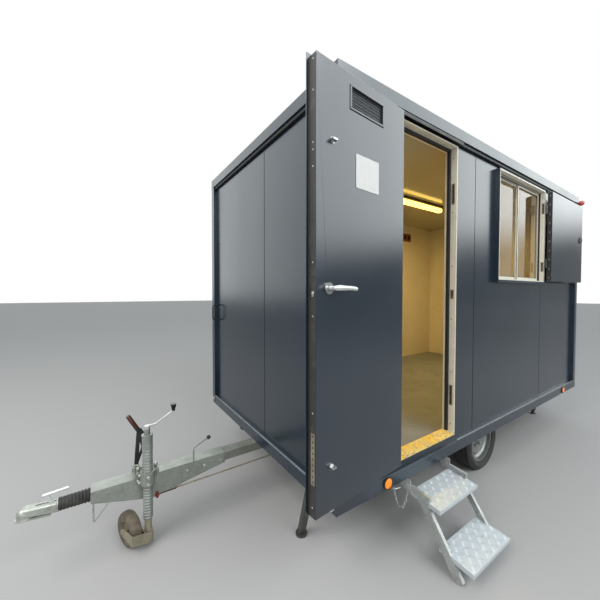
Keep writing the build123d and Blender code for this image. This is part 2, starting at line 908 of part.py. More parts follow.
def handbrake_sector():
    """Toothed quadrant and pivot bolt on the housing's side."""
    y0 = far_bar_y
    y1 = y0 + sector_thickness
    reach = 2 * sector_radius
    disc = rod((brake_x, y0, brake_pivot_z), (brake_x, y1, brake_pivot_z), sector_radius)
    below = block(brake_x - reach, brake_x + reach, y0, y1, brake_pivot_z - reach,
                  brake_pivot_z - sector_radius / 3)
    front = block(brake_x - reach, brake_x - sector_radius / 3, y0, y1, brake_pivot_z - reach,
                  brake_pivot_z + reach)
    outer = brake_plane() + brake_plate_thickness + sector_thickness
    bolt = rod((brake_x, y0, brake_pivot_z), (brake_x, outer, brake_pivot_z), brake_bolt_radius)
    return disc - below - front + bolt


def handbrake_lever():
    """Flat bar with a flat link and a leaning round grip, upright when the brake is on."""
    y0 = brake_plane()
    y1 = y0 + brake_plate_thickness
    half = brake_bar_width / 2
    knee_x = brake_x + brake_bar_lean
    top = brake_pivot_z + brake_bar_length
    bar = plate_xz([(brake_x - half, brake_pivot_z), (brake_x + half, brake_pivot_z),
                    (knee_x + half * 0.8, top), (knee_x - half * 0.8, top)], y0, y1)
    eye = rod((brake_x, y0, brake_pivot_z), (brake_x, y1, brake_pivot_z), half)
    middle = (y0 + y1) / 2
    lean = math.radians(brake_grip_lean)
    grip_end = (knee_x - brake_grip_length * math.sin(lean), middle,
                top + brake_grip_length * math.cos(lean))
    grip = rod((knee_x, middle, top - half), grip_end, brake_grip_radius)
    link_low = brake_pivot_z + brake_bar_length * 0.25
    link = plate_xz([(knee_x - half, top - half * 2), (knee_x + half, top + half * 0.4),
                     (knee_x + half * 2.6, top - half * 2.4),
                     (knee_x + half * 2.2, top - half * 10), (brake_x + half, link_low),
                     (brake_x, link_low), (knee_x + half * 1.1, top - half * 9)],
                    y0 - link_thickness, y0)
    bore = rod((brake_x, y0, brake_pivot_z), (brake_x, y1, brake_pivot_z),
               brake_bolt_radius + running_gap)
    return bar + eye + grip + link - bore


def brake_rod():
    """Pull rod from the coupling to the axle, with the clevis at its front end."""
    beam_x = axle_x - arm_length
    y = middle_y - drawbar_width / 2 + rod_radius + 2
    z_front = housing_top - housing_deep_drop - rod_radius - 1
    beam_low = bar_low - axle_beam
    z_rear = beam_low - rod_radius * 1.6
    pull = rod((rod_front, y, z_front), (beam_x, y, z_rear), rod_radius)
    clevis = block(rod_front - 30, rod_front + 12, y - 9, y + 9, z_front - 9, z_front + rod_radius + 1)
    lug = block(beam_x - 12, beam_x + 12, y - 9, y + 9, z_rear - 9, beam_low)
    return pull + clevis + lug


def rib_section(bottom, top, radius):
    """Outline of a ribbed tube, a rib every pitch."""
    count = int((top - bottom) / rib_pitch)
    pitch = (top - bottom) / count
    section = [(inner_tube_radius + running_gap, bottom)]
    for k in range(count):
        z = bottom + k * pitch
        section += [(radius - rib_depth, z), (radius, z + pitch * 0.5)]
    section += [(radius - rib_depth, top), (inner_tube_radius + running_gap, top)]
    return section


def jockey_outer_tube():
    """Ribbed stem, its wider upper tube and the cap that carries the crank."""
    place = Pos(jockey_x, jockey_y, 0)
    stem = turn_z(rib_section(stem_bottom, upper_tube_bottom, stem_radius), place)
    label_low = upper_tube_top - label_height
    upper = turn_z(rib_section(upper_tube_bottom, label_low, upper_tube_radius), place)
    upper += place * Pos(0, 0, (label_low + upper_tube_top) / 2) * Cylinder(
        upper_tube_radius, label_height)
    cap_top = crank_height - crank_boss_height / 2
    cap = place * Pos(0, 0, (upper_tube_top + cap_top) / 2) * Cylinder(
        crank_boss_radius, cap_top - upper_tube_top)
    collar = place * Pos(0, 0, upper_tube_top + 3) * Cylinder(upper_tube_radius + tube_wall, 6)
    return stem + upper + collar + cap


def jockey_clamp():
    """Split clamp on a bolted plate that holds the stem to the housing's side."""
    z0 = upper_tube_bottom
    z1 = z0 + clamp_height
    outer = upper_tube_radius + clamp_width / 2
    ring = Pos(jockey_x, jockey_y, (z0 + z1) / 2) * Cylinder(outer, clamp_height)
    plate = block(jockey_x - clamp_plate_half, jockey_x + clamp_plate_half,
                  near_bar_y - clamp_plate_thickness, near_bar_y,
                  z0 - tube_wall, housing_top + clamp_plate_rise)
    pad = block(jockey_x - outer, jockey_x + outer, jockey_y, near_bar_y, z0, z1)
    ears = block(jockey_x + upper_tube_radius, jockey_x + outer + clamp_width, jockey_y - 12,
                 jockey_y + 12, z0, z1)
    slit = block(jockey_x, jockey_x + 3 * outer, jockey_y - 2, jockey_y + 2, z0, z1)
    bolt_z = (z0 + z1) / 2
    bolt_x = jockey_x + outer + clamp_width / 2
    bolt = rod((bolt_x, jockey_y - 34, bolt_z), (bolt_x, jockey_y + 20, bolt_z), 5)
    bar = rod((bolt_x, jockey_y - 30, bolt_z), (bolt_x, jockey_y - 30, bolt_z + 60), 5)
    bore = Pos(jockey_x, jockey_y, bolt_z) * Cylinder(upper_tube_radius + running_gap,
                                                 2 * clamp_height)
    return ring + pad + plate + ears - slit - bore + bolt + bar


def jockey_crank():
    """Cranked flat handle with its flared knob, over the stem's cap."""
    base_z = crank_height - crank_boss_height / 2 + running_gap
    arm_z = base_z + crank_boss_height
    half_w, half_t = crank_bar_width / 2, crank_bar_thickness / 2
    boss = Pos(0, 0, base_z + crank_boss_height / 2) * Cylinder(crank_boss_radius,
                                                              crank_boss_height)
    tip = crank_reach + half_w
    rise = crank_rise * (tip - crank_flat) / (crank_reach - crank_flat)
    arm = plate_xz([(-half_w, arm_z), (crank_flat, arm_z), (tip, arm_z + rise),
                    (tip, arm_z + rise - 2 * half_t), (crank_flat + half_t, arm_z - 2 * half_t),
                    (-half_w, arm_z - 2 * half_t)], -half_w, half_w)
    knob_base = arm_z + crank_rise - half_t
    knob = Pos(crank_reach, 0, knob_base + knob_length / 2) * Cone(knob_low_radius, knob_top_radius,
                                                                  knob_length)
    turned = (boss + arm + knob).rotate(upright(0, 0), crank_azimuth)
    return turned.moved(Location((jockey_x, jockey_y, 0)))


def jockey_inner_tube():
    """Smooth tube that winds in and out of the stem."""
    length = upper_tube_bottom - swivel_top
    return Pos(jockey_x, jockey_y, swivel_top + length / 2) * Cylinder(inner_tube_radius, length)


def castor(solid):
    """Turns a piece from the castor's own frame to where the jockey wheel stands."""
    turned = solid.rotate(upright(0, 0), jockey_heading - 90)
    return turned.moved(Location((jockey_x, jockey_y, 0)))


def jockey_fork():
    """Bent strap that rises round the wheel, on the boss under the inner tube."""
    hub_z = jockey_radius
    right = -jockey_side + jockey_width / 2 + tyre_room
    left = -jockey_side - jockey_width / 2 - tyre_room
    front = -fork_boss_radius
    end = jockey_trail + fork_end_reach
    face = plate_xz([(0, fork_boss_low), (0, fork_boss_top), (left - fork_sheet, fork_left_top),
                     (left - fork_sheet, fork_left_low)], front, front + fork_sheet)
    left_leg = plate_yz([(front, fork_left_low), (front, fork_left_top),
                         (jockey_trail, hub_z + fork_end_reach), (end, hub_z + 0.4 * fork_end_reach),
                         (end, hub_z - 0.6 * fork_end_reach), (jockey_trail, hub_z - fork_end_reach)],
                        left - fork_sheet, left)
    right_leg = plate_yz([(front, fork_boss_low), (front, fork_boss_top),
                          (jockey_trail, hub_z + fork_end_reach), (end, hub_z + 0.4 * fork_end_reach),
                          (end, hub_z - 0.6 * fork_end_reach), (jockey_trail, hub_z - fork_end_reach)],
                         right, right + fork_sheet)
    boss_height = fork_boss_top - fork_boss_low
    boss = Pos(0, 0, fork_boss_low + boss_height / 2) * Cylinder(fork_boss_radius, boss_height)
    swivel_height = swivel_top - running_gap - fork_boss_low
    swivel = Pos(0, 0, fork_boss_low + swivel_height / 2) * Cylinder(inner_tube_radius - tube_wall,
                                                                    swivel_height)
    pin = rod((left - 2 * fork_sheet, jockey_trail, hub_z),
              (right + 2 * fork_sheet, jockey_trail, hub_z), jockey_axle_radius)
    return castor(face + left_leg + right_leg + boss + swivel + pin)


def jockey_spun(section):
    face = make_face(Polyline(*section, close=True))
    wheel = Rot(0, 0, -90) * revolve(face, Axis.Y)
    return castor(Pos(-jockey_side, jockey_trail, jockey_radius) * wheel)


def jockey_rim():
    """Small pressed rim with its hub tube."""
    half = jockey_width / 2
    bore = jockey_axle_radius + running_gap
    hub = bore + 8
    return jockey_spun([(bore, -half), (hub, -half), (hub, -half * 0.3),
                        (jockey_rim_radius - 6, -half * 0.3), (jockey_rim_radius - 4, -half * 0.72),
                        (jockey_rim_radius, -half * 0.72), (jockey_rim_radius, half * 0.72),
                        (jockey_rim_radius - 4, half * 0.72), (jockey_rim_radius - 6, half * 0.3),
                        (hub, half * 0.3), (hub, half), (bore, half)])


def jockey_tyre():
    half = jockey_width / 2
    r0, r1 = jockey_rim_radius, jockey_radius
    outside = [(r0, half * 0.72), (r0 + 8, half * 0.94), (r0 + 24, half), (r1 - 11, half * 0.86),
               (r1 - 3, half * 0.55), (r1, half * 0.2)]
    return jockey_spun(outside + [(radius, -across) for radius, across in reversed(outside)])


def lower_steps(solid):
    """Lets the step unit down until its feet stand on the ground."""
    hung = solid.moved(Location((0, step_pin_y, pin_z)))
    return hung.rotate(Axis((0, step_pin_y, pin_z), (1, 0, 0)), step_droop)


def tread(front, top):
    """Folded tray of chequer plate between the step's sides."""
    x0, x1 = step_left + arm_sheet, step_right - arm_sheet
    tray = block(x0, x1, front, front + tread_depth, top - tread_lip, top)
    s = tread_sheet
    return lower_steps(tray - block(x0 + s, x1 - s, front + s, front + tread_depth - s,
                                    top - tread_lip, top - s))


def step_treads():
    return [tread(upper_tread_front, upper_tread_top), tread(lower_tread_front, lower_tread_top)]


def step_side(x, inward):
    """Angle arm with its pin hole, and the sloping stringer below it."""
    sheet = sorted((x, x + inward * arm_sheet))
    flange = sorted((x, x + inward * arm_flange))
    low = arm_over_pin - arm_depth
    arm = block(*sheet, arm_front, arm_back, low, arm_over_pin)
    arm += block(*flange, arm_front, -lug_half_width, arm_over_pin - arm_sheet, arm_over_pin)
    arm += block(*flange, arm_front, arm_front + arm_sheet, low, arm_over_pin)
    (y0, z0), (y1, z1) = stringer_top, stringer_foot
    length = math.hypot(y1 - y0, z1 - z0)
    across = (-(z1 - z0) / length * stringer_width, (y1 - y0) / length * stringer_width)
    edge = (across[0] * arm_sheet / stringer_width, across[1] * arm_sheet / stringer_width)
    root_y = y0 - (y1 - y0) / length * stringer_width * 0.9
    root_z = z0 - (z1 - z0) / length * stringer_width * 0.9
    web = plate_yz([(root_y, root_z), (y1, z1), (y1 + across[0], z1 + across[1]),
                    (root_y + across[0], root_z + across[1])], *sheet)
    lip = plate_yz([(y0, z0), (y1, z1), (y1 + edge[0], z1 + edge[1]),
                    (y0 + edge[0], z0 + edge[1])], *sorted((x, x + inward * stringer_flange)))
    lip -= block(*sorted((x + inward * arm_sheet, x + inward * stringer_flange)),
                 upper_tread_front, upper_tread_front + tread_depth,
                 upper_tread_top - tread_lip, arm_over_pin)
    arm -= block(*sorted((x + inward * arm_sheet, x + inward * arm_flange)),
                 upper_tread_front, upper_tread_front + tread_depth,
                 upper_tread_top - tread_lip, upper_tread_top)
    lip -= block(*sorted((x + inward * arm_sheet, x + inward * stringer_flange)),
                 lower_tread_front, lower_tread_front + tread_depth,
                 lower_tread_top - tread_lip, lower_tread_top)
    hole = rod((x, 0, 0), (x + inward * arm_sheet, 0, 0), step_pin_radius + running_gap)
    side = lower_steps(arm + web + lip - hole)
    below = block(step_left - body_width, step_right + body_width, -body_width, body_width,
                  -body_width, 0)
    return side - below


def step_sides():
    return [step_side(step_left, 1), step_side(step_right, -1)]


def step_lugs():
    """Hanging lugs under the rail, each with its hinge pin."""
    lugs = []
    for x, outward in ((step_left, -1), (step_right, 1)):
        face = x + outward * running_gap
        edges = sorted((face, face + outward * lug_thickness))
        lug = block(*edges, step_pin_y - lug_half_width, step_pin_y + lug_half_width * 2,
                    pin_z - lug_half_width, rail_bottom)
        pin = rod((face + outward * (lug_thickness + 6), step_pin_y, pin_z),
                  (x - outward * (arm_sheet + 5), step_pin_y, pin_z), step_pin_radius)
        lugs.append(lug + pin)
    return lugs


def steady_plate_at(x, side):
    half = steady_leg_width / 2
    return block(x - half - 12, x + half + 12, side - 35, side + 45,
                 rail_bottom - steady_plate, rail_bottom)


def steady_down(x, side):
    """Mounting plate, leaning channel leg and round foot on the ground."""
    y0 = side
    y1 = side + steady_lean
    half = steady_leg_width / 2
    top = rail_bottom - steady_plate
    foot_z = steady_foot_height
    leg = plate_yz([(y0 - 15, top), (y0 + 15, top), (y1 + 15, foot_z), (y1 - 15, foot_z)],
                   x - half, x + half)
    s = strap_thickness
    leg -= plate_yz([(y0 - 15 + s, top - s), (y0 + 15 + s, top - s), (y1 + 15 + s, foot_z + s),
                     (y1 - 15 + s, foot_z + s)], x - half + s, x + half - s)
    foot = Pos(x, y1, foot_z / 2) * Cylinder(steady_foot_radius, foot_z)
    return steady_plate_at(x, side) + leg + foot


def steady_folded(x, side):
    """The same steady swung up, so that its leg lies flat under the frame."""
    half = steady_leg_width / 2
    top = rail_bottom - steady_plate
    low = top - steady_leg_depth
    s = strap_thickness
    tip = side + steady_folded_reach
    leg = block(x - half, x + half, side - 15, tip, low, top)
    leg -= block(x - half + s, x + half - s, side - 15, tip, low, top - s)
    middle_z = top - steady_foot_radius
    foot = rod((x, tip, middle_z), (x, tip + steady_foot_height, middle_z), steady_foot_radius)
    return steady_plate_at(x, side) + leg + foot


def corner_steadies():
    """Three legs stand on the ground; the far front one is swung up."""
    rear_x = body_length - rear_joist_inset
    rear = steady_down(rear_x, rear_steady_side)
    return [steady_down(front_steady_x, front_steady_side),
            mirrored_side(steady_folded(front_steady_x, front_steady_side)),
            rear, mirrored_side(rear)]


def side_lamps():
    z = rail_bottom + side_lamp_rise
    lamps = []
    for x in (front_side_lamp, body_length - rear_side_lamp_inset):
        lens = rod((x, -side_lamp_depth, z), (x, 0, z), side_lamp_radius)
        lamps += [lens, mirrored_side(lens)]
    return lamps


def front_lamps():
    z = rail_bottom + side_lamp_rise
    near = rod((-front_lamp_depth, front_lamp_inset, z), (0, front_lamp_inset, z),
               front_lamp_radius)
    return [near, mirrored_side(near)]


def marker_lamps():
    """Red lamps on short rubber arms at the rear corners."""
    x = body_length - marker_arm - marker_radius
    z = rail_bottom + marker_height + marker_radius
    base = (x, 0, z)
    tip = (x, -marker_reach + marker_radius, z - marker_radius)
    arm = rod(base, tip, marker_arm)
    arm -= block(x - marker_reach, x + marker_reach, 0, marker_reach, z - marker_reach,
                 z + marker_reach)
    lens = rod((x - marker_radius * 0.7, tip[1], tip[2]), (x + marker_radius * 0.7, tip[1], tip[2]),
               marker_radius)
    near = arm + lens
    return [near, mirrored_side(near)]


def tie_loops():
    """Upright loops on the front wall, near its corner posts."""
    half = loop_height / 2
    z = rail_bottom + loop_middle
    y = loop_inset
    x0 = wall_recess
    x1 = wall_recess - loop_reach
    path = FilletPolyline((x0, y, z - half), (x1, y, z - half), (x1, y, z + half),
                          (x0, y, z + half), radius=loop_reach * 0.45)
    section = Plane(origin=(x0, y, z - half), z_dir=(-1, 0, 0)) * Circle(loop_radius)
    near = sweep(section, path)
    return [near, mirrored_side(near)]


def light_batten():
    """Ceiling batten with a half round diffuser."""
    x0 = body_length / 2 - batten_length / 2
    half = batten_width / 2
    top = lining_top
    section = [(middle_y - half, top), (middle_y + half, top), (middle_y + half, top - half * 0.6),
               (middle_y + half * 0.7, top - batten_height * 0.85),
               (middle_y + half * 0.3, top - batten_height),
               (middle_y - half * 0.3, top - batten_height),
               (middle_y - half * 0.7, top - batten_height * 0.85),
               (middle_y - half, top - half * 0.6)]
    return plate_yz(section, x0, x0 + batten_length)


def save(name, solids):
    """Moves a piece to the part's origin and writes its file."""
    pieces = solids if isinstance(solids, list) else [solids]
    shift = Location((-origin_x, -origin_y, 0))
    moved = [piece.moved(shift) for piece in pieces]
    shape = moved[0] if len(moved) == 1 else Compound(children=moved)
    export_step(shape, f"parts/{name}.step")


def main():
    os.makedirs("parts", exist_ok=True)
    pieces = {
        "side_rails": side_rails(),
        "end_rails": end_rails(),
        "corner_posts": corner_posts(),
        "floor_joists": floor_joists(),
        "floor_deck": floor_deck(),
        "roof_panel": roof_panel(),
        "ceiling": ceiling(),
        "end_walls": end_walls(),
        "far_wall": far_wall(),
        **door_side_walls(),
        "inner_lining": inner_lining(),
        "door_frame": door_frame(),
        "window_frame": window_frame(),
        "window_sashes": window_sashes(),
        "window_glass": window_glass(),
        "hinge_plates": hinge_plates(),
        "door_leaf": door_leaf(),
        "door_hinges": door_hinges(),
        "door_vents": door_vents(),
        "door_furniture": door_furniture(),
        "door_lever": door_lever(),
        "shutter_leaf": shutter_leaf(),
        "shutter_hinges": shutter_hinges(),
        "shutter_pull": shutter_pull(),
        "axle": axle(),
        "rim_door_side": road_rim(),
        "rim_far_side": mirrored_side(road_rim()),
        "tyre_door_side": road_tyre(),
        "tyre_far_side": mirrored_side(road_tyre()),
        "drawbar": drawbar(),
        "coupling_housing": coupling_housing(),
        "coupling_shaft": coupling_shaft(),
        "coupling_bellows": coupling_bellows(),
        "coupling_head": coupling_head(),
        "coupling_handle": coupling_handle(),
        "handbrake_sector": handbrake_sector(),
        "handbrake_lever": handbrake_lever(),
        "brake_rod": brake_rod(),
        "jockey_outer_tube": jockey_outer_tube(),
        "jockey_clamp": jockey_clamp(),
        "jockey_crank": jockey_crank(),
        "jockey_inner_tube": jockey_inner_tube(),
        "jockey_fork": jockey_fork(),
        "jockey_rim": jockey_rim(),
        "jockey_tyre": jockey_tyre(),
        "step_lugs": step_lugs(),
        "step_sides": step_sides(),
        "step_treads": step_treads(),
        "corner_steadies": corner_steadies(),
        "side_lamps": side_lamps(),
        "front_lamps": front_lamps(),
        "marker_lamps": marker_lamps(),
        "tie_loops": tie_loops(),
        "light_batten": light_batten(),
    }
    for name, solids in pieces.items():
        save(name, solids)
    print(len(pieces), "nodes; origin", round(origin_x, 3), round(origin_y, 3))


main()
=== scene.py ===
# %% [markdown]
# A portable site cabin on one axle, with its door swung wide open. The rigid parts come ready made from
# CAD. This notebook loads them, gives every one a real finish, and adds the small fittings that make the
# thing believable: gaskets, screws, a chain, worn treads, lamps and the coupling's odds and ends.

# %% Load the frame
import bmesh
import bpy
import math
from mathutils import Matrix, Vector


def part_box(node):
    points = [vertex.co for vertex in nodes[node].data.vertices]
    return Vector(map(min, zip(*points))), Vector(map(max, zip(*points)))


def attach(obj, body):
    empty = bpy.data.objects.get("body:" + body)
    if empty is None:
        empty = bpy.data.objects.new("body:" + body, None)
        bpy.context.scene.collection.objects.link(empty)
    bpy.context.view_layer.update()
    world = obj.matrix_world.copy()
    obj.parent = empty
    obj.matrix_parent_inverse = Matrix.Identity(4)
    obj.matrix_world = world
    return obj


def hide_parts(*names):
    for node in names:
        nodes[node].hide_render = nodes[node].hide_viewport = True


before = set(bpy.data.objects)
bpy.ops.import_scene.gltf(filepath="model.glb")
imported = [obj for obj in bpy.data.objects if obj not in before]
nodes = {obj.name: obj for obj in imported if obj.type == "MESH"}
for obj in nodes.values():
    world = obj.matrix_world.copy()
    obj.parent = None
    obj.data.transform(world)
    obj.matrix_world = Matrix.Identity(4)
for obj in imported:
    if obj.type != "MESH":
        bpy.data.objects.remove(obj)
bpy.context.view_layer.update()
print("CAD nodes:", len(nodes))

# %% [markdown]
# The drawing of the cabin starts at the front face of its body, at the rail on the door side, and on the
# ground. Reading that corner from the long rails lets every fitting be placed with the same numbers that
# a fitter would measure on the real thing.

# %% The cabin's own corner
rails_low, rails_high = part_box("side_rails")
BODY_LENGTH = rails_high.x - rails_low.x
BODY_WIDTH = rails_high.y - rails_low.y


def at(x, y, z):
    """A point given from the body's front face, the door side's rail and the ground."""
    return Vector((rails_low.x + x, rails_low.y + y, z))


print(f"body {BODY_LENGTH:.3f} x {BODY_WIDTH:.3f} m, roof at {rails_high.z:.3f} m")

# %% [markdown]
# The picture was taken with a very wide lens, held at head height just outside the open door. A camera
# that stands in the same place with the same lens gives the same strong perspective. A small helper puts
# the camera, and later every lamp and piece, into the scene.

# %% Camera
CAMERA_FROM_CORNER = (-1.013, -1.161, 1.590)
CAMERA_YAW = 55.98
CAMERA_PITCH = -1.37
CAMERA_ROLL = 0.05
SENSOR_WIDTH = 36.0
FOCAL_PIXELS = 299.3
IMAGE_PIXELS = 600


def put(name, data):
    """Makes an object of some data and links it to the scene."""
    made = bpy.data.objects.new(name, data)
    bpy.context.scene.collection.objects.link(made)
    return made


camera_data = bpy.data.cameras.new("camera")
camera_data.sensor_width = SENSOR_WIDTH
camera_data.lens = FOCAL_PIXELS / IMAGE_PIXELS * SENSOR_WIDTH
camera_data.clip_start = 0.02
camera = put("camera", camera_data)
turn = (Matrix.Rotation(math.radians(CAMERA_YAW - 90), 4, "Z")
        @ Matrix.Rotation(math.radians(90 + CAMERA_PITCH), 4, "X")
        @ Matrix.Rotation(math.radians(CAMERA_ROLL), 4, "Z"))
camera.matrix_world = Matrix.Translation(at(*CAMERA_FROM_CORNER)) @ turn
bpy.context.scene.camera = camera
print(f"lens {camera_data.lens:.2f} mm at", [round(v, 3) for v in camera.location])

# %% [markdown]
# Daylight from a cloudy sky is soft and comes from everywhere above. The world gives that light. Rays
# that the camera, glass or gloss sends out see a plain white backdrop, a little brighter towards the top,
# so that dark gloss paint shows the pale band that such paint always shows outdoors. Two small helpers
# place shader nodes here and in every finish below.

# %% World
SKY_LIGHT = 0.62
SKY_GLOSS_LOW = 0.28
SKY_GLOSS_HIGH = 1.95
SKY_GLOSS_SWING = 1.25
BAND_LOW, BAND_HIGH, BAND_SLOPE = -0.045, 0.085, -0.153


def feed(tree, node, inputs):
    """Sets a node's inputs, each to a value or to what another node or socket gives."""
    for key, value in inputs.items():
        if isinstance(value, bpy.types.Node):
            value = next(socket for socket in value.outputs if socket.enabled)
        if isinstance(value, bpy.types.NodeSocket):
            tree.links.new(value, node.inputs[key])
        else:
            node.inputs[key].default_value = value


def add_node(tree, kind, inputs=None, **settings):
    """Adds a shader node with its settings and its inputs."""
    made = tree.nodes.new("ShaderNode" + kind)
    for key, value in settings.items():
        setattr(made, key, value)
    feed(tree, made, inputs or {})
    return made


world = bpy.data.worlds.new("overcast")
bpy.context.scene.world = world
world.use_nodes = True
sky = world.node_tree
sky.nodes.clear()
ray = add_node(sky, "LightPath").outputs
direction = add_node(sky, "SeparateXYZ", {0: add_node(sky, "TexCoord").outputs["Generated"]}).outputs
slope = add_node(sky, "Math", {0: direction["X"], 1: BAND_SLOPE, 2: direction["Z"]},
                 operation="MULTIPLY_ADD")
swell = add_node(sky, "Math", {0: direction["X"], 1: SKY_GLOSS_SWING, 2: SKY_GLOSS_HIGH},
                 operation="MULTIPLY_ADD")
rise = add_node(sky, "MapRange", {"Value": slope, "From Min": BAND_LOW, "From Max": BAND_HIGH,
                                  "To Min": SKY_GLOSS_LOW, "To Max": swell},
                interpolation_type="SMOOTHSTEP")
light = add_node(sky, "Background", {"Color": (0.93, 0.97, 1.0, 1), "Strength": SKY_LIGHT})
gloss = add_node(sky, "Background", {"Color": (0.95, 1.0, 0.995, 1), "Strength": rise})
backdrop = add_node(sky, "Background", {"Color": (1, 1, 1, 1), "Strength": 1.0})
seen = add_node(sky, "Math", {0: ray["Is Camera Ray"], 1: ray["Is Transmission Ray"]},
                operation="MAXIMUM")
mirrored = add_node(sky, "MixShader", {"Fac": ray["Is Glossy Ray"], 1: light, 2: gloss})
whole = add_node(sky, "MixShader", {"Fac": seen, 1: mirrored, 2: backdrop})
add_node(sky, "OutputWorld", {"Surface": whole})
bpy.context.scene.view_settings.view_transform = "Standard"
print("sky light", SKY_LIGHT)

# %% [markdown]
# Two large soft lamps stand for the brighter parts of the sky: one over the drawbar end and one over the
# door side. They shape the posts and treads and put a faint shadow under the cabin. Inside, a warm tube
# lights the room, as it does in every such cabin.

# %% Lamps


def soft_lamp(name, place, aim, size, power, colour):
    """A large square lamp that looks at a point and that the camera doesn't see."""
    data = bpy.data.lights.new(name, "AREA")
    data.size = size
    data.energy = power
    data.color = colour
    lamp = put(name, data)
    lamp.location = place
    lamp.rotation_euler = (Vector(aim) - Vector(place)).to_track_quat("-Z", "Y").to_euler()
    lamp.visible_camera = False
    print(f"{name}: {power} W over {size} m")


soft_lamp("sky_over_drawbar", at(-5.5, 0.0, 6.5), at(0.5, 1.0, 1.0), 5.0, 400, (1.0, 0.98, 0.95))
soft_lamp("sky_over_door_side", at(1.5, -6.0, 6.0), at(2.0, 0.5, 0.9), 5.5, 400, (0.96, 0.98, 1.0))

# %% [markdown]
# A pale floor catches the shadow. It is wide enough to reach the horizon on every side, and smooth, so
# that nothing on it draws the eye away from the cabin.

# %% Floor
FLOOR_SIZE = 60.0

floor_mesh = bmesh.new()
bmesh.ops.create_grid(floor_mesh, x_segments=1, y_segments=1, size=FLOOR_SIZE)
floor_data = bpy.data.meshes.new("floor")
floor_mesh.to_mesh(floor_data)
floor_mesh.free()
floor = put("floor", floor_data)
floor.location = (0, 0, -0.001)
floor_look = bpy.data.materials.new("pale_floor")
floor_look.use_nodes = True
feed(floor_look.node_tree, floor_look.node_tree.nodes["Principled BSDF"],
     {"Base Color": (0.44, 0.44, 0.435, 1), "Roughness": 0.9, "Specular IOR Level": 0.2})
floor_data.materials.append(floor_look)
print(f"floor: {2 * FLOOR_SIZE:.0f} m square")

# %% [markdown]
# Most finishes here share one build: a base colour, a second tone that drifts over it in soft patches,
# grime that gathers in blotches, and a fine grain that drives a shallow bump. One helper wires that up
# from Object coordinates, so that every pattern has its size in metres, and keeps the finish by its name.

# %% Material helper
looks = {}


def colour(text):
    """Turns a hex colour into the linear values that shaders want."""
    values = [int(text[i:i + 2], 16) / 255 for i in (1, 3, 5)]
    linear = [v / 12.92 if v <= 0.04045 else ((v + 0.055) / 1.055) ** 2.4 for v in values]
    return (*linear, 1)


def shader_of(look):
    """The node tree of a look and its main shader."""
    tree = looks[look].node_tree
    return tree, tree.nodes["Principled BSDF"]


def finish(name, base, tone, rough, metal=0, patch=(0.35, 2.5), grime=None, grain=(220, 0.0004),
           ior=1.5, rough_swing=0.12, stretch=(1, 1, 1), coat=0.0):
    """A weathered surface. patch is (share, scale) of the second tone, grime is (colour, share, scale),
    and grain is (scale, depth)."""
    looks[name] = bpy.data.materials.new(name)
    looks[name].use_nodes = True
    tree, shader = shader_of(name)
    place = add_node(tree, "Mapping", {"Vector": add_node(tree, "TexCoord").outputs["Object"],
                                       "Scale": stretch}, name="place")
    drift = add_node(tree, "TexNoise", {"Vector": place, "Scale": patch[1], "Detail": 5})
    spread = add_node(tree, "MapRange", {"Value": drift, "From Min": 0.35, "From Max": 0.65,
                                         "To Max": patch[0]})
    skin = add_node(tree, "Mix", {"Factor": spread, "A": colour(base), "B": colour(tone)},
                    data_type="RGBA")
    if grime:
        dirt, share, scale = grime
        blotch = add_node(tree, "TexNoise", {"Vector": place, "Scale": scale, "Detail": 8,
                                             "Roughness": 0.65})
        cut = add_node(tree, "MapRange", {"Value": blotch, "From Min": 0.50, "From Max": 0.72,
                                          "To Max": share})
        skin = add_node(tree, "Mix", {"Factor": cut, "A": skin, "B": colour(dirt)}, data_type="RGBA")
    fine = add_node(tree, "TexNoise", {"Vector": place, "Scale": grain[0], "Detail": 3})
    swing = add_node(tree, "MapRange", {"Value": drift, "From Min": 0.3, "From Max": 0.7,
                                        "To Min": max(rough - rough_swing / 2, 0.02),
                                        "To Max": min(rough + rough_swing / 2, 1.0)})
    bump = add_node(tree, "Bump", {"Height": fine, "Distance": grain[1], "Strength": 0.5}, name="bump")
    feed(tree, shader, {"Base Color": skin, "Roughness": swing, "Normal": bump, "Metallic": metal,
                        "IOR": ior, "Coat Weight": coat})


def blend_over(look, share, top, blend_type="MIX"):
    """Lays another colour over the one that a look has."""
    tree, shader = shader_of(look)
    before = shader.inputs["Base Color"].links[0].from_socket
    blend = add_node(tree, "Mix", {"Factor": share, "A": before, "B": top}, data_type="RGBA",
                     blend_type=blend_type)
    feed(tree, shader, {"Base Color": blend})


def spangle(look, scale, share):
    """Adds the frost-flower cells of hot-dip zinc."""
    tree = shader_of(look)[0]
    cells = add_node(tree, "TexVoronoi", {"Vector": tree.nodes["place"], "Scale": scale})
    grey = add_node(tree, "RGBToBW", {0: cells.outputs["Color"]})
    level = add_node(tree, "MapRange", {"Value": grey, "From Min": 0.2, "From Max": 0.8, "To Min": 0.55,
                                        "To Max": 1.35})
    blend_over(look, share, level, "MULTIPLY")


def recolour_above(look, level, text):
    """Gives everything above a height another colour, as for a grip on a lever."""
    tree = shader_of(look)[0]
    parts = add_node(tree, "SeparateXYZ", {0: add_node(tree, "TexCoord").outputs["Object"]})
    over = add_node(tree, "Math", {0: parts.outputs["Z"], 1: level}, operation="GREATER_THAN")
    blend_over(look, over, colour(text))


def dress(look, *names):
    """Gives CAD nodes a finish in place of their plain one."""
    for name in names:
        data = nodes[name].data
        data.materials.clear()
        data.materials.append(looks[look])


print("helpers ready")

# %% [markdown]
# The walls, doors and frame are steel sheet with a dark blue-grey paint. It is smooth and half glossy,
# with a faint orange-peel skin, so it goes pale where it mirrors the sky and nearly black in the shade. A
# soft upright sway under the grain stands for sheet that is never quite flat.

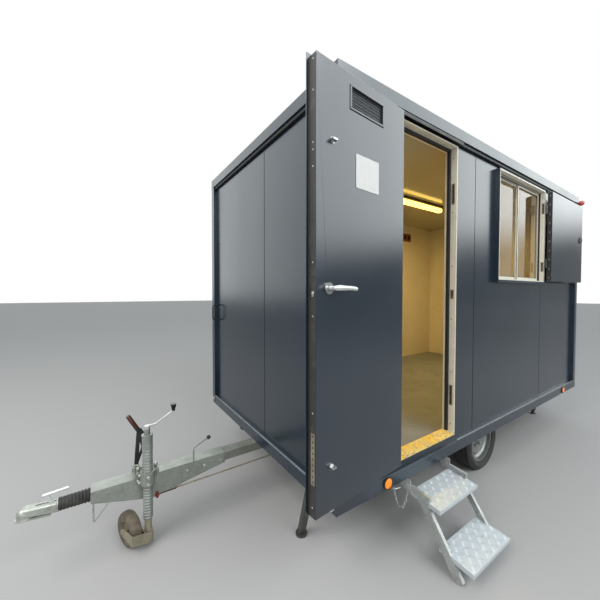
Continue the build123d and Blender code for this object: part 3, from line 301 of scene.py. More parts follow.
# %% Painted steel
finish("panel_paint", "#0c1d2b", "#122434", 0.21, 0, (0.5, 1.2), ("#4c5254", 0.08, 3.0), (160, 0.0004),
       ior=1.80, rough_swing=0.08)
finish("frame_paint", "#122331", "#1b2d3b", 0.26, 0, (0.6, 2.0), ("#5a5a54", 0.10, 3.0), (180, 0.0003),
       ior=1.75)
panel_tree = shader_of("panel_paint")[0]
upright = add_node(panel_tree, "Mapping", {"Vector": panel_tree.nodes["place"], "Scale": (1, 1, 0.22)})
dents = add_node(panel_tree, "TexNoise", {"Vector": upright, "Scale": 2.2, "Detail": 1})
sway = add_node(panel_tree, "Bump", {"Height": dents, "Distance": 0.008, "Strength": 0.5})
feed(panel_tree, panel_tree.nodes["bump"], {"Normal": sway})
finish("roof_paint", "#343e45", "#414a50", 0.50, 0, (0.7, 1.4), ("#5c5d58", 0.45, 3.4), (120, 0.0006))
dress("panel_paint", "end_walls", "far_wall", "door_side_piers", "walls_under_openings",
      "walls_over_openings", "door_leaf", "shutter_leaf")
dress("frame_paint", "side_rails", "end_rails", "corner_posts", "window_frame", "hinge_plates",
      "door_hinges", "shutter_hinges")
dress("roof_paint", "roof_panel")
print("finishes so far:", len(looks))

# %% [markdown]
# Inside, the boards and the folded door surround are cream. The surround is steel and shiny; the boards
# are a dull laminate. The floor is a worn grey vinyl with the fine fleck that hides boot marks.

# %% Cream, boards and floor
finish("cream_paint", "#e3dfd0", "#d8d2bf", 0.34, 0, (0.5, 6), ("#9a917c", 0.22, 14), (200, 0.0004))
finish("lining_board", "#e0d9c2", "#d8cfb4", 0.42, 0, (0.6, 1.0), ("#b9ab88", 0.20, 3.5), (300, 0.0002))
finish("ceiling_board", "#b9b39c", "#aea78e", 0.09, 0, (0.5, 1.2), ("#9b8f70", 0.12, 3.0), (260, 0.00008),
       rough_swing=0.05)
finish("floor_vinyl", "#747b80", "#8a9092", 0.42, 0, (0.8, 1.8), ("#5a5852", 0.50, 5.0), (420, 0.0004))
finish("joist_timber", "#8a7455", "#6d5940", 0.75, 0, (0.9, 7.0), ("#4a4034", 0.5, 10), (90, 0.001),
       stretch=(6, 1, 6))
dress("cream_paint", "door_frame")
dress("lining_board", "inner_lining")
dress("ceiling_board", "ceiling")
dress("floor_vinyl", "floor_deck")
dress("joist_timber", "floor_joists")
print("finishes so far:", len(looks))

# %% [markdown]
# The drawbar, jockey wheel and steadies are dipped in zinc. Fresh zinc is bright, but here it has gone a
# dull greenish grey with brown road dirt. The drawbar, axle and steadies are darker still: for the
# steadies that is painted shade, and for the drawbar and axle it is painted shade together with road
# dirt. The step treads are newer bare aluminium.

# %% Zinc and bare metal
finish("galvanised", "#999e98", "#868a83", 0.44, 0.4, (0.8, 7), ("#6b6453", 0.40, 13), (260, 0.0006))
finish("bright_steel", "#c3c5c4", "#a9acab", 0.26, 1.0, (0.6, 20), ("#7d7a70", 0.25, 30), (500, 0.0002))
finish("chequer_plate", "#c6ced2", "#bac3c7", 0.50, 0.20, (0.6, 10), ("#b4b8b6", 0.20, 18), (400, 0.0003))
finish("tread_bar", "#d3dadd", "#c8cfd3", 0.38, 0.35, (0.5, 20), ("#b0b1aa", 0.20, 30), (500, 0.0002))
finish("step_zinc", "#bdc1bf", "#aaaeab", 0.36, 0.5, (0.8, 10), ("#7a766b", 0.40, 14), (300, 0.0005))
finish("bright_zinc", "#b5b9b2", "#9a9e96", 0.36, 0.5, (0.8, 22), ("#6a6353", 0.55, 30), (400, 0.0004))
finish("passivated_zinc", "#8f8574", "#a39c8e", 0.40, 0.6, (0.9, 25), ("#54493a", 0.40, 40), (400, 0.0003))
finish("screw_black", "#4a4843", "#5d5a54", 0.45, 0.4, (0.6, 60), None, (500, 0.0002))
finish("rim_silver", "#8e9290", "#7a7e7b", 0.32, 0.5, (0.7, 12), ("#6f6b60", 0.45, 18), (300, 0.0003))
# Darker zinc for the drawbar and axle: painted shade together with brown road dirt.
finish("shaded_zinc", "#8c9088", "#7a7c72", 0.50, 0.3, (0.8, 6), ("#51493a", 0.55, 14), (260, 0.0006))
finish("rod_zinc", "#a39783", "#8a7e6b", 0.50, 0.3, (0.8, 12), ("#5b4c3b", 0.50, 16), (300, 0.0004))
# Much darker zinc for the steadies: painted shade.
finish("leg_zinc_painted_shade", "#55564f", "#45443d", 0.55, 0.3, (0.9, 8), ("#332e25", 0.55, 12), (260, 0.0006))
finish("dusty_zinc", "#98917c", "#8b8571", 0.52, 0.25, (0.8, 14), ("#6b5f48", 0.55, 22), (260, 0.0006))
finish("lug_grey", "#5d6266", "#70757a", 0.45, 0.3, (0.6, 30), None, (500, 0.0002))
finish("satin_steel", "#dcdedd", "#cbcdcc", 0.30, 0.5, (0.6, 20), ("#8f8c84", 0.20, 30), (500, 0.0002))
spangle("galvanised", 90, 0.18)
spangle("step_zinc", 90, 0.25)
spangle("shaded_zinc", 90, 0.18)
dress("shaded_zinc", "drawbar", "axle")
dress("leg_zinc_painted_shade", "corner_steadies")
dress("rod_zinc", "brake_rod")
dress("bright_zinc", "coupling_head", "handbrake_sector")
dress("galvanised", "coupling_housing", "jockey_outer_tube", "jockey_clamp")
dress("dusty_zinc", "jockey_inner_tube", "jockey_fork", "jockey_rim")
dress("step_zinc", "step_lugs", "step_sides")
dress("satin_steel", "door_lever", "coupling_handle")
dress("bright_steel", "door_furniture", "coupling_shaft")
dress("lug_grey", "shutter_pull")
dress("chequer_plate", "step_treads")
dress("rim_silver", "rim_door_side", "rim_far_side")
print("finishes so far:", len(looks))

# %% [markdown]
# Rubber and plastic: dusty tyres, a black gaiter on the coupling, black handles, cream window profiles
# and the coloured lamp lenses.

# %% Rubber and plastic
finish("tyre_rubber", "#2b2b2a", "#3a3936", 0.82, 0, (0.8, 14), ("#6b6457", 0.5, 10), (350, 0.0008))
finish("jockey_rubber", "#6d6457", "#5a5247", 0.88, 0, (0.9, 18), ("#8a7e69", 0.7, 22), (260, 0.001))
finish("black_rubber", "#232323", "#303030", 0.6, 0, (0.6, 16), ("#5b5648", 0.45, 20), (320, 0.0005))
finish("black_paint", "#222426", "#2e3032", 0.42, 0, (0.6, 16), ("#5a5650", 0.25, 25), (300, 0.0003))
finish("sash_plastic", "#e2dfd2", "#d6d1c0", 0.36, 0, (0.5, 6), ("#9c927b", 0.22, 12), (260, 0.0002))
finish("seal_rubber", "#161718", "#222324", 0.55, 0, (0.6, 20), ("#403d38", 0.25, 30), (500, 0.0002))
# Near black for the floors of slots, holes and slits: painted shade that stands for their depth.
finish("hollow_painted_shade", "#0e0e0e", "#181716", 0.8, 0, (0.6, 40), None, (500, 0.0002))
finish("channel_plastic", "#2a2927", "#35332f", 0.5, 0, (0.7, 8), ("#6b6459", 0.25, 25), (400, 0.0003))
finish("grip_paint", "#2a2b2d", "#38393b", 0.42, 0, (0.6, 16), ("#5a5650", 0.30, 25), (300, 0.0003))
recolour_above("grip_paint", 0.692, "#4a221d")
finish("crank_metal", "#c6c9c6", "#b0b3af", 0.32, 0.5, (0.7, 20), ("#807a6d", 0.25, 30), (400, 0.0003))
recolour_above("crank_metal", 0.811, "#1b1b1c")
finish("clip_red", "#7a2a24", "#5d211d", 0.5, 0, (0.6, 30), ("#3a2a26", 0.30, 40), (400, 0.0003))
dress("tyre_rubber", "tyre_door_side", "tyre_far_side")
dress("jockey_rubber", "jockey_tyre")
dress("black_rubber", "coupling_bellows")
dress("black_paint", "tie_loops", "door_vents")
dress("grip_paint", "handbrake_lever")
dress("crank_metal", "jockey_crank")
dress("sash_plastic", "window_sashes")
print("finishes so far:", len(looks))

# %% [markdown]
# The sill's yellow safety paint is scuffed through to grey, and full of dark specks. A second noise with
# hard limits cuts the specks. Sign plate, light cover and socket get quiet plastics and enamel.

# %% Small surfaces
finish("worn_yellow", "#efc649", "#e8d08c", 0.5, 0, (0.9, 11), ("#a79a7c", 0.85, 22), (260, 0.0006))
yellow_tree = shader_of("worn_yellow")[0]
specks = add_node(yellow_tree, "TexNoise", {"Vector": yellow_tree.nodes["place"], "Scale": 95,
                                            "Detail": 4})
speck_cut = add_node(yellow_tree, "MapRange", {"Value": specks, "From Min": 0.59, "From Max": 0.65})
blend_over("worn_yellow", speck_cut, colour("#3a3327"))
finish("white_enamel", "#cfd0ce", "#c6c6c2", 0.34, 0, (0.5, 8), ("#a9a69c", 0.20, 30), (200, 0.0002))
finish("cover_painted_shade", "#4a3d2a", "#574a35", 0.45, 0, (0.5, 6), None, (300, 0.0002))
finish("socket_brown", "#7a4a22", "#8a5628", 0.40, 0, (0.5, 20), None, (300, 0.0002))
print("finishes so far:", len(looks))

# %% [markdown]
# The unlit lamp lenses get a touch of emission in the lens colour. That is painted light: they glow a
# little though no lamp is behind them. The panes are clear glass with smears.

# %% Lenses and glass


def glow(look, light, strength):
    """Lets a look give off some light of its own."""
    tree, shader = shader_of(look)
    feed(tree, shader, {"Emission Color": light, "Emission Strength": strength})


# The emission on these unlit lenses is painted light.
for name, base, tone, strength in (("amber_lens", "#ff8a06", "#f67c02", 0.34),
                                   ("red_lens", "#b8403a", "#a0302c", 0.10),
                                   ("clear_lens", "#b4b5b1", "#a2a39e", 0.02)):
    finish(name, base, tone, 0.22, patch=(0.5, 30), grain=(60, 0.0006), coat=0.4)
    glow(name, colour(base), strength)
dress("amber_lens", "side_lamps")
dress("red_lens", "marker_lamps")
dress("clear_lens", "front_lamps")

looks["window_glass"] = bpy.data.materials.new("window_glass")
looks["window_glass"].use_nodes = True
glass_tree, glass_shader = shader_of("window_glass")
smear = add_node(glass_tree, "TexNoise", {"Vector": add_node(glass_tree, "TexCoord").outputs["Object"],
                                          "Scale": 3.0})
film = add_node(glass_tree, "MapRange", {"Value": smear, "To Min": 0.01, "To Max": 0.06})
feed(glass_tree, glass_shader, {"Base Color": (0.80, 0.81, 0.77, 1), "Roughness": film,
                                "Transmission Weight": 1.0, "IOR": 1.45})
dress("window_glass", "window_glass")

finish("diffuser", "#f6efd8", "#efe4c2", 0.4, 0, (0.3, 5), None, (150, 0.0003))
glow("diffuser", (1.0, 0.66, 0.13, 1), 3.2)
dress("diffuser", "light_batten")
print("finishes in all:", len(looks))

# %% [markdown]
# The tube's light is what colours the whole room. A long lamp just under the diffuser gives an even,
# warm wash on the boards, much stronger on the ceiling's middle than by the door.

# %% Room light
batten_low, batten_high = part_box("light_batten")
room_data = bpy.data.lights.new("room_tube", "AREA")
room_data.shape = "RECTANGLE"
room_data.size = batten_high.x - batten_low.x
room_data.size_y = 0.20
room_data.energy = 34
room_data.color = (1.0, 0.66, 0.20)
room_lamp = put("room_tube", room_data)
room_lamp.location = ((batten_low.x + batten_high.x) / 2, (batten_low.y + batten_high.y) / 2,
                      batten_low.z - 0.02)
room_lamp.visible_camera = False
print(f"room tube: {room_data.size:.2f} m long")

# %% [markdown]
# The fittings that follow are all small, so a few helpers make them: one turns a finished bmesh into a
# named piece that rides on its body, one makes a bar between two corners with its edges eased, one spins
# an outline as a lathe does, and one sinks a pocket into a plate. Eased edges matter more than anything
# else here, because they catch the light as real edges do.

# %% Piece helpers
CABIN = Matrix.Translation(at(0, 0, 0))
FRAME = Matrix.Identity(4)


def settle(name, mesh, body, *finishes, smooth=0):
    """Turns a bmesh into a piece that rides on a body. smooth is the sharpest angle that is shaded soft."""
    bmesh.ops.recalc_face_normals(mesh, faces=mesh.faces)
    data = bpy.data.meshes.new(name)
    mesh.to_mesh(data)
    mesh.free()
    for look in finishes:
        data.materials.append(looks[look])
    if smooth:
        data.shade_smooth()
        data.set_sharp_from_angle(angle=math.radians(smooth))
    piece = put(name, data)
    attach(piece, body)
    print(f"{name}: {len(data.polygons)} faces")
    return piece


def add_bar(mesh, low, high, place=CABIN, edge=0.0008, slot=0):
    """A bar between two corners, with its edges eased."""
    low, high = Vector(low), Vector(high)
    shape = place @ Matrix.Translation((low + high) / 2) @ Matrix.Diagonal((*(high - low), 1))
    corners = bmesh.ops.create_cube(mesh, size=1.0, matrix=shape)["verts"]
    for face in {face for corner in corners for face in corner.link_faces}:
        face.material_index = slot
    if edge:
        edges = list({line for corner in corners for line in corner.link_edges})
        bmesh.ops.bevel(mesh, geom=edges, offset=edge, offset_type="OFFSET", segments=2, profile=0.5,
                        affect="EDGES", material=-1)


def bars(name, body, look, rows, place=CABIN, edge=0.0008):
    """A piece made of bars. A row holds a bar's two corners and may end with an edge of its own."""
    mesh = bmesh.new()
    for low, high, *own_edge in rows:
        add_bar(mesh, low, high, place, *(own_edge or [edge]))
    settle(name, mesh, body, look)


def add_turned(mesh, outline, foot, axis=(0, 0, 1), place=CABIN, steps=24, slot=0):
    """Spins (radius, height) pairs round an axis that starts at foot."""
    old = set(mesh.verts)
    points = [mesh.verts.new((radius, 0, height)) for radius, height in outline]
    lines = [mesh.edges.new(pair) for pair in zip(points, points[1:])]
    bmesh.ops.spin(mesh, geom=points + lines, axis=(0, 0, 1), cent=(0, 0, 0), angle=2 * math.pi,
                   steps=steps, use_merge=True, use_duplicate=False)
    made = [point for point in mesh.verts if point not in old]
    bmesh.ops.remove_doubles(mesh, verts=made, dist=1e-5)
    made = [point for point in mesh.verts if point not in old]
    stand = place @ Matrix.Translation(foot) @ Vector(axis).to_track_quat("Z", "X").to_matrix().to_4x4()
    bmesh.ops.transform(mesh, matrix=stand, verts=made)
    for face in {face for point in made for face in point.link_faces}:
        face.material_index = slot


def add_pocketed(mesh, low, high, out, border, depth, place=CABIN):
    """A plate with a sunken pocket in the face that looks along out. The pocket's floor has slot 1."""
    low, high = Vector(low), Vector(high)
    shape = Matrix.Translation((low + high) / 2) @ Matrix.Diagonal((*(high - low), 1))
    corners = bmesh.ops.create_cube(mesh, size=1.0, matrix=shape)["verts"]
    faces = {face for corner in corners for face in corner.link_faces}
    for face in faces:
        face.normal_update()
    front = max(faces, key=lambda face: face.normal.dot(Vector(out)))
    ring = bmesh.ops.inset_region(mesh, faces=[front], thickness=border, use_even_offset=True)["faces"]
    bmesh.ops.translate(mesh, verts=front.verts, vec=Vector(out) * -depth)
    front.material_index = 1
    parts = {point for face in [*faces, *ring, front] for point in face.verts}
    bmesh.ops.transform(mesh, matrix=place, verts=list(parts))


def screw(radius, height):
    """The outline of a domed screw head with a sunken middle."""
    return [(0, height * 0.5), (radius * 0.35, height * 0.5), (radius * 0.45, height),
            (radius * 0.8, height * 0.9), (radius, height * 0.3), (radius, 0), (0, 0)]


def bolt(radius, height):
    """The outline of a bolt head, which a spin of six steps makes a hexagon."""
    return [(0, height), (radius * 0.82, height), (radius, height * 0.8), (radius, 0),
            (radius * 0.5, 0), (0, 0)]


print("piece helpers ready")

# %% [markdown]
# Sheet steel folded on a press has soft corners of a millimetre or two. The CAD corners are sharp, so a
# Weld and a Bevel modifier ease them without touching the mesh. Only corners over 40 degrees are eased.

# %% Folded corners
FOLDED = {"side_rails": 0.0025, "end_rails": 0.0025, "corner_posts": 0.0025, "window_frame": 0.0015,
          "door_frame": 0.0015, "door_leaf": 0.0015, "shutter_leaf": 0.0015, "drawbar": 0.004,
          "coupling_housing": 0.003, "step_treads": 0.0012,
          "window_sashes": 0.0015, "door_vents": 0.0006, "jockey_fork": 0.0015,
          "handbrake_lever": 0.0012, "jockey_crank": 0.0015, "coupling_head": 0.0012}

for name, fold in FOLDED.items():
    weld = nodes[name].modifiers.new("weld", "WELD")
    weld.merge_threshold = 0.00005
    ease = nodes[name].modifiers.new("fold", "BEVEL")
    ease.width = fold
    ease.segments = 2
    ease.limit_method = "ANGLE"
    ease.angle_limit = math.radians(40)
    ease.use_clamp_overlap = True
    ease.harden_normals = True
print("eased:", len(FOLDED))

# %% [markdown]
# The doorway is a folded cream surround. A black rubber seal runs round its stop, with a soft lip that the
# leaf presses flat. Each length is one bar on the stop's front and one that laps its inner edge.

# %% Door seal
SILL, HEAD = 0.580, 2.620
LEFT, RIGHT = 0.434, 1.110
STOP = 0.012
SEAL_FRONT, SEAL_FACE, SEAL_BACK = 0.0356, 0.0398, 0.058

seal_top, lap_top = HEAD - 0.0005, HEAD - STOP
door_seal = []
for outer, side in ((RIGHT, -1), (LEFT, 1)):
    face = sorted((outer + side * 0.0005, outer + side * (STOP + 0.0005)))
    lap = sorted((outer + side * (STOP + 0.0002), outer + side * (STOP + 0.005)))
    door_seal += [((face[0], SEAL_FRONT, SILL), (face[1], SEAL_FACE, seal_top)),
                  ((lap[0], SEAL_FRONT, SILL), (lap[1], SEAL_BACK, lap_top))]
door_seal += [((LEFT + 0.0005, SEAL_FRONT, lap_top - 0.0005), (RIGHT - 0.0005, SEAL_FACE, seal_top)),
              ((LEFT + STOP, SEAL_FRONT, lap_top - 0.005), (RIGHT - STOP, SEAL_BACK, lap_top - 0.0002))]
bars("door_seal", "cabin", "seal_rubber", door_seal, edge=0.0015)

# %% [markdown]
# The bolts and the latch shoot into three strike plates on the surround. They are pressed zinc with a
# slot, so the pocket helper makes them. Countersunk screws hold the surround to the wall.

# %% Strike plates and screws
SCREW_SET_IN, PLATE = 0.0045, 0.0016
strikes = bmesh.new()
for low, high in ((0.773, 0.920), (1.547, 1.614), (2.225, 2.373)):
    add_pocketed(strikes, (RIGHT - PLATE, 0.007, low), (RIGHT, 0.031, high), (-1, 0, 0), 0.0075, 0.0015)
    for level in (low + SCREW_SET_IN, high - SCREW_SET_IN):
        add_turned(strikes, screw(0.0028, 0.0006), (RIGHT - PLATE, 0.019, level), (-1, 0, 0), steps=10)
# The slots' floors are painted shade.
settle("strike_plates", strikes, "cabin", "passivated_zinc", "hollow_painted_shade", smooth=35)

reveal_screws = bmesh.new()
for level in (0.635, 1.016, 1.401, 1.782, 2.167, 2.552):
    for x, way in ((RIGHT, -1), (LEFT, 1)):
        add_turned(reveal_screws, screw(0.0042, 0.0012), (x, 0.020, level), (way, 0, 0), steps=12)
for x in (0.55, 0.77, 0.99):
    add_turned(reveal_screws, screw(0.0042, 0.0012), (x, 0.020, HEAD), (0, 0, -1), steps=12)
settle("reveal_screws", reveal_screws, "cabin", "screw_black", smooth=35)

# %% [markdown]
# The sill carries a strip of yellow safety paint, worn through to bare metal where boots land. A thin
# plate with its own material shows the paint, and a nosing covers the sill's front edge.

# %% Threshold
bars("threshold", "cabin", "worn_yellow", [
    ((LEFT + STOP + 0.0005, -0.0075, SILL), (RIGHT - STOP - 0.0005, 0.0745, SILL + 0.0016), 0.0006),
    ((LEFT + 0.0005, -0.0092, SILL - 0.0165), (RIGHT - 0.0005, -0.008, SILL + 0.001), 0.0005)])

# %% [markdown]
# Under the top rail, where the wall panels end, runs a black foam seal, and the black strip is also
# painted shadow under the rail's overhang. A second one sits on the front.

# %% Roof seal and painted shadow
POST, SEAL_SHADOW_LOW, SEAL_SHADOW_HIGH = 0.076, 2.666, 2.6895
# These black strips are a seal plus painted shadow under the rail's overhang.
bars("roof_seal_and_shadow", "cabin", "seal_rubber", [
    ((POST, 0.012, SEAL_SHADOW_LOW), (BODY_LENGTH - POST, 0.0315, SEAL_SHADOW_HIGH)),
    ((0.012, POST, SEAL_SHADOW_LOW), (0.0315, BODY_WIDTH - POST, SEAL_SHADOW_HIGH))], edge=0.003)

# %% [markdown]
# Over the door a black rubber drip strip sheds rain. Its flange is fixed to the wall, and its lip hangs in
# front of the surround and runs a little past it. Black strips at the bottom of the seam grooves between
# panels are painted shade.

# %% Drip strip and seams
bars("drip_strip", "cabin", "seal_rubber", [
    ((0.405, -0.0300, 2.6525), (1.150, 0.0318, 2.6555), 0.001),
    ((0.405, -0.0310, 2.6330), (1.152, -0.0270, 2.6560), 0.0015)])

# The black seam strips sit at the bottom of the grooves as painted shade.
SEAM_HALF, SEAM_FRONT, SEAM_BACK, SEAM_LOW, SEAM_HIGH = 0.0038, 0.0342, 0.0362, 0.5005, 2.6655
seams = [((x - SEAM_HALF, SEAM_FRONT, SEAM_LOW), (x + SEAM_HALF, SEAM_BACK, SEAM_HIGH))
         for x in (1.450, 2.830)]
seams.append(((SEAM_FRONT, 0.868 - SEAM_HALF, SEAM_LOW), (SEAM_BACK, 0.868 + SEAM_HALF, SEAM_HIGH)))
bars("seam_shade_strips", "cabin", "seal_rubber", seams, edge=0.0005)

# %% [markdown]
# The leaf hangs on its hinges 175 degrees open. Its own frame of reference starts at the hinged edge of
# the inner face: the first number runs along the leaf, the second stands out of the inner face, and the
# third is the height. Fittings on the leaf are placed in it and ride on the door.

# %% The leaf's frame
HINGE = at(0.430, -0.020, 0)
OPEN = math.radians(175)
ALONG = Vector((math.cos(OPEN), -math.sin(OPEN), 0))
PROUD = Vector((math.sin(OPEN), math.cos(OPEN), 0))
LEAF_WIDTH = 0.664
LEAF = Matrix(((ALONG.x, PROUD.x, 0, 0), (ALONG.y, PROUD.y, 0, 0), (0, 0, 1, 0), (0, 0, 0, 1)))
LEAF.translation = HINGE + 0.010 * ALONG + 0.055 * PROUD
print("leaf edge at", [round(v, 3) for v in LEAF @ Vector((LEAF_WIDTH, 0, 1.6))])

# %% [markdown]
# A square plate for a sign is fixed to the inner face. It stays bare white enamel here. Around the
# vent runs a painted frame, and only the slats behind it are black.

# %% Sign plate and vent frame
plate = bmesh.new()
add_bar(plate, (0.232, 0.0003, 2.095), (0.409, 0.0022, 2.256), LEAF, edge=0)
corners = [line for line in plate.edges
           if abs(line.verts[0].co.z - line.verts[1].co.z) < 1e-6
           and abs((line.verts[0].co - line.verts[1].co).dot(PROUD)) > 0.001]
bmesh.ops.bevel(plate, geom=corners, offset=0.008, offset_type="OFFSET", segments=4, profile=0.5,
                affect="EDGES", material=-1)
settle("sign_plate", plate, "door", "white_enamel")

VENT_LEFT, VENT_RIGHT, VENT_LOW, VENT_HIGH, VENT_RIM = 0.190, 0.452, 2.450, 2.566, 0.010
slats_low, slats_high = VENT_LOW + VENT_RIM, VENT_HIGH - VENT_RIM
bars("vent_surround", "door", "panel_paint",
     [((left, 0.0003, low), (right, 0.0040, high))
      for left, right, low, high in ((VENT_LEFT, VENT_RIGHT, VENT_LOW, slats_low),
                                     (VENT_LEFT, VENT_RIGHT, slats_high, VENT_HIGH),
                                     (VENT_LEFT, VENT_LEFT + VENT_RIM, slats_low, slats_high),
                                     (VENT_RIGHT - VENT_RIM, VENT_RIGHT, slats_low, slats_high))],
     LEAF, 0.001)

# %% [markdown]
# The leaf's free edge is closed with a nearly black plastic channel. A black seal runs beside the outer
# skin, screws hold the channel, the latch tongue stands out at hand height, and a long perforated face
# covers the lower lock.

# %% Leaf edge
CHANNEL_FACE = LEAF_WIDTH + 0.0014
bars("edge_channel", "door", "channel_plastic",
     [((LEAF_WIDTH + 0.0002, -0.0440, 0.600), (CHANNEL_FACE, -0.0015, 2.606))], LEAF, 0.0005)
bars("edge_seal", "door", "seal_rubber",
     [((LEAF_WIDTH + 0.0002, -0.0478, 0.598), (LEAF_WIDTH + 0.0045, -0.0435, 2.608))], LEAF, 0.0015)

edge_fixings = bmesh.new()
for level in (0.640, 1.060, 1.487, 1.722, 2.135, 2.206, 2.237, 2.459, 2.590):
    add_turned(edge_fixings, screw(0.004, 0.0012), (CHANNEL_FACE, -0.020, level), (1, 0, 0), LEAF,
               steps=12)
# Two thin near-black slits across the channel's face are painted shade.
for level in (1.656, 1.904):
    add_bar(edge_fixings, (CHANNEL_FACE, -0.0430, level - 0.001),
            (LEAF_WIDTH + 0.0018, -0.0025, level + 0.001), LEAF, edge=0, slot=1)
add_bar(edge_fixings, (CHANNEL_FACE, -0.025, 1.572), (LEAF_WIDTH + 0.0048, -0.011, 1.596), LEAF,
        edge=0.0015)
settle("edge_fixings", edge_fixings, "door", "bright_steel", "hollow_painted_shade", smooth=35)

LOCK_LOW, LOCK_HIGH, HOLES = 0.743, 0.973, 9
hole_pitch = (LOCK_HIGH - LOCK_LOW) / HOLES
lock_face = bmesh.new()
for hole in range(HOLES):
    low = LOCK_LOW + hole * hole_pitch
    add_pocketed(lock_face, (LEAF_WIDTH + 0.0020, -0.0282, low),
                 (LEAF_WIDTH + 0.0030, -0.0038, low + hole_pitch), (1, 0, 0), 0.0080, 0.0006, LEAF)
settle("lock_face", lock_face, "door", "passivated_zinc", "channel_plastic")

# %% [markdown]
# The door lever is a thick satin bow: it leaves the rose, turns smoothly and thins towards its tip. A
# NURBS curve with a radius at every point gives that in one stroke, once for each side of the leaf.

# %% Door lever
LEVER_FROM_HINGE, LEVER_LEVEL = 0.590, 1.610
BOW = ((0.000, 0.0085, 0.000, 0.0085), (0.000, 0.0300, 0.000, 0.0088), (0.001, 0.0480, 0.001, 0.0118),
       (0.016, 0.0570, 0.002, 0.0130), (0.050, 0.0555, 0.001, 0.0112), (0.092, 0.0530, 0.001, 0.0102),
       (0.122, 0.0515, -0.001, 0.0098), (0.134, 0.0505, -0.003, 0.0088), (0.138, 0.0500, -0.004, 0.0030))

lever_line = bpy.data.curves.new("lever_line", "CURVE")
lever_line.dimensions = "3D"
lever_line.bevel_depth = 1.0
lever_line.bevel_resolution = 5
lever_line.use_fill_caps = True
for face_level, way in ((0.0, 1), (-0.051, -1)):
    bow = lever_line.splines.new("NURBS")
    bow.points.add(len(BOW) - 1)
    for target, (reach, stand, rise, thick) in zip(bow.points, BOW):
        place = LEAF @ Vector((LEVER_FROM_HINGE - reach, face_level + way * stand, LEVER_LEVEL + rise))
        target.co = (*place, 1)
        target.radius = thick
    bow.order_u = 3
    bow.use_endpoint_u = True
    bow.resolution_u = 8
lever_line.materials.append(looks["satin_steel"])
lever_bow = put("lever_bow", lever_line)
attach(lever_bow, "door_handle")
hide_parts("door_lever")
print("lever bows:", len(lever_line.splines))

# %% [markdown]
# The window sits in the same kind of folded surround, lined with cream plastic whose lip covers the
# surround's front. A black rubber bead runs round each pane, and black bars set in the gaps beside the
# sashes are painted shade; together they draw the thin black lines that a sliding window shows. Two
# pressed keeps on the right take the shutter's bolts.

# %% Window lining, beads and gap shade
WINDOW_LEFT, WINDOW_RIGHT, WINDOW_LOW, WINDOW_HIGH = 1.784, 2.790, 1.710, 2.620
SASH_FRAME, BOARD, SEAT, LIP = 0.034, 0.0028, 0.0002, 0.0065
LINER_FRONT, LINER_BACK = -0.006, 0.0455
inner_left, inner_right = WINDOW_LEFT + BOARD, WINDOW_RIGHT - BOARD
inner_low, inner_high = WINDOW_LOW + BOARD, WINDOW_HIGH - BOARD
seat_low, seat_high = WINDOW_LOW + SEAT, WINDOW_HIGH - SEAT

lining = [((WINDOW_LEFT + SEAT, LINER_FRONT, seat_low), (inner_left, 0.0598, seat_high)),
          ((inner_right, LINER_FRONT, seat_low), (WINDOW_RIGHT - SEAT, LINER_BACK, seat_high)),
          ((inner_left, LINER_FRONT, seat_low), (inner_right, LINER_BACK, inner_low)),
          ((inner_left, LINER_FRONT, inner_high), (inner_right, LINER_BACK, seat_high))]
lining += [((inner_left, y, inner_high - 0.004), (inner_right, y + 0.003, inner_high + 0.0005))
           for y in (0.0345, 0.0410)]
for left, right, low, high in ((WINDOW_LEFT - LIP, WINDOW_LEFT, WINDOW_LOW - LIP, WINDOW_HIGH + LIP),
                               (WINDOW_RIGHT, WINDOW_RIGHT + LIP, WINDOW_LOW - LIP, WINDOW_HIGH + LIP),
                               (WINDOW_LEFT, WINDOW_RIGHT, WINDOW_LOW - LIP, WINDOW_LOW),
                               (WINDOW_LEFT, WINDOW_RIGHT, WINDOW_HIGH, WINDOW_HIGH + LIP)):
    lining.append(((left, -0.0092, low), (right, -0.0079, high), 0.0004))
bars("window_lining", "cabin", "sash_plastic", lining)

beads_and_gap_shade = []
for left, right, front in ((WINDOW_LEFT, 2.307, 0.060), (2.267, WINDOW_RIGHT, 0.046)):
    west, east = left + SASH_FRAME, right - SASH_FRAME
    low, high = WINDOW_LOW + SASH_FRAME, WINDOW_HIGH - SASH_FRAME
    outer, inner = front - 0.0008, front + 0.0012
    beads_and_gap_shade += [((west - 0.003, outer, low - 0.003), (west + 0.002, inner, high + 0.003)),
              ((east - 0.002, outer, low - 0.003), (east + 0.003, inner, high + 0.003)),
              ((west + 0.002, outer, low - 0.003), (east - 0.002, inner, low + 0.002)),
              ((west + 0.002, outer, high - 0.002), (east - 0.002, inner, high + 0.003))]
# These black bars fill the gaps beside the sashes with painted shade.
for left, right, front, back, *thin_edge in (
        (inner_right - 0.005, inner_right - SEAT, 0.0425, 0.0458),
        (inner_left + SEAT, inner_left + 0.003, 0.0565, 0.0598),
        (2.2668, 2.2775, 0.0450, 0.0461, 0.0003),
        (2.7780, 2.7868, 0.0450, 0.0461, 0.0003),
        (2.7864, 2.7873, 0.0310, 0.0452, 0.0003)):
    beads_and_gap_shade.append(((left, front, WINDOW_LOW + 0.004), (right, back, WINDOW_HIGH - 0.004), *thin_edge))
for front, back, low, high in ((0.0275, 0.0340, 0.0036, 0.0027), (0.0450, 0.0461, 0.0120, 0.0030)):
    beads_and_gap_shade.append(((WINDOW_LEFT + 0.006, front, WINDOW_HIGH - low),
                  (WINDOW_RIGHT - 0.006, back, WINDOW_HIGH - high), 0.0003))
bars("window_beads_and_gap_shade", "cabin", "seal_rubber", beads_and_gap_shade)

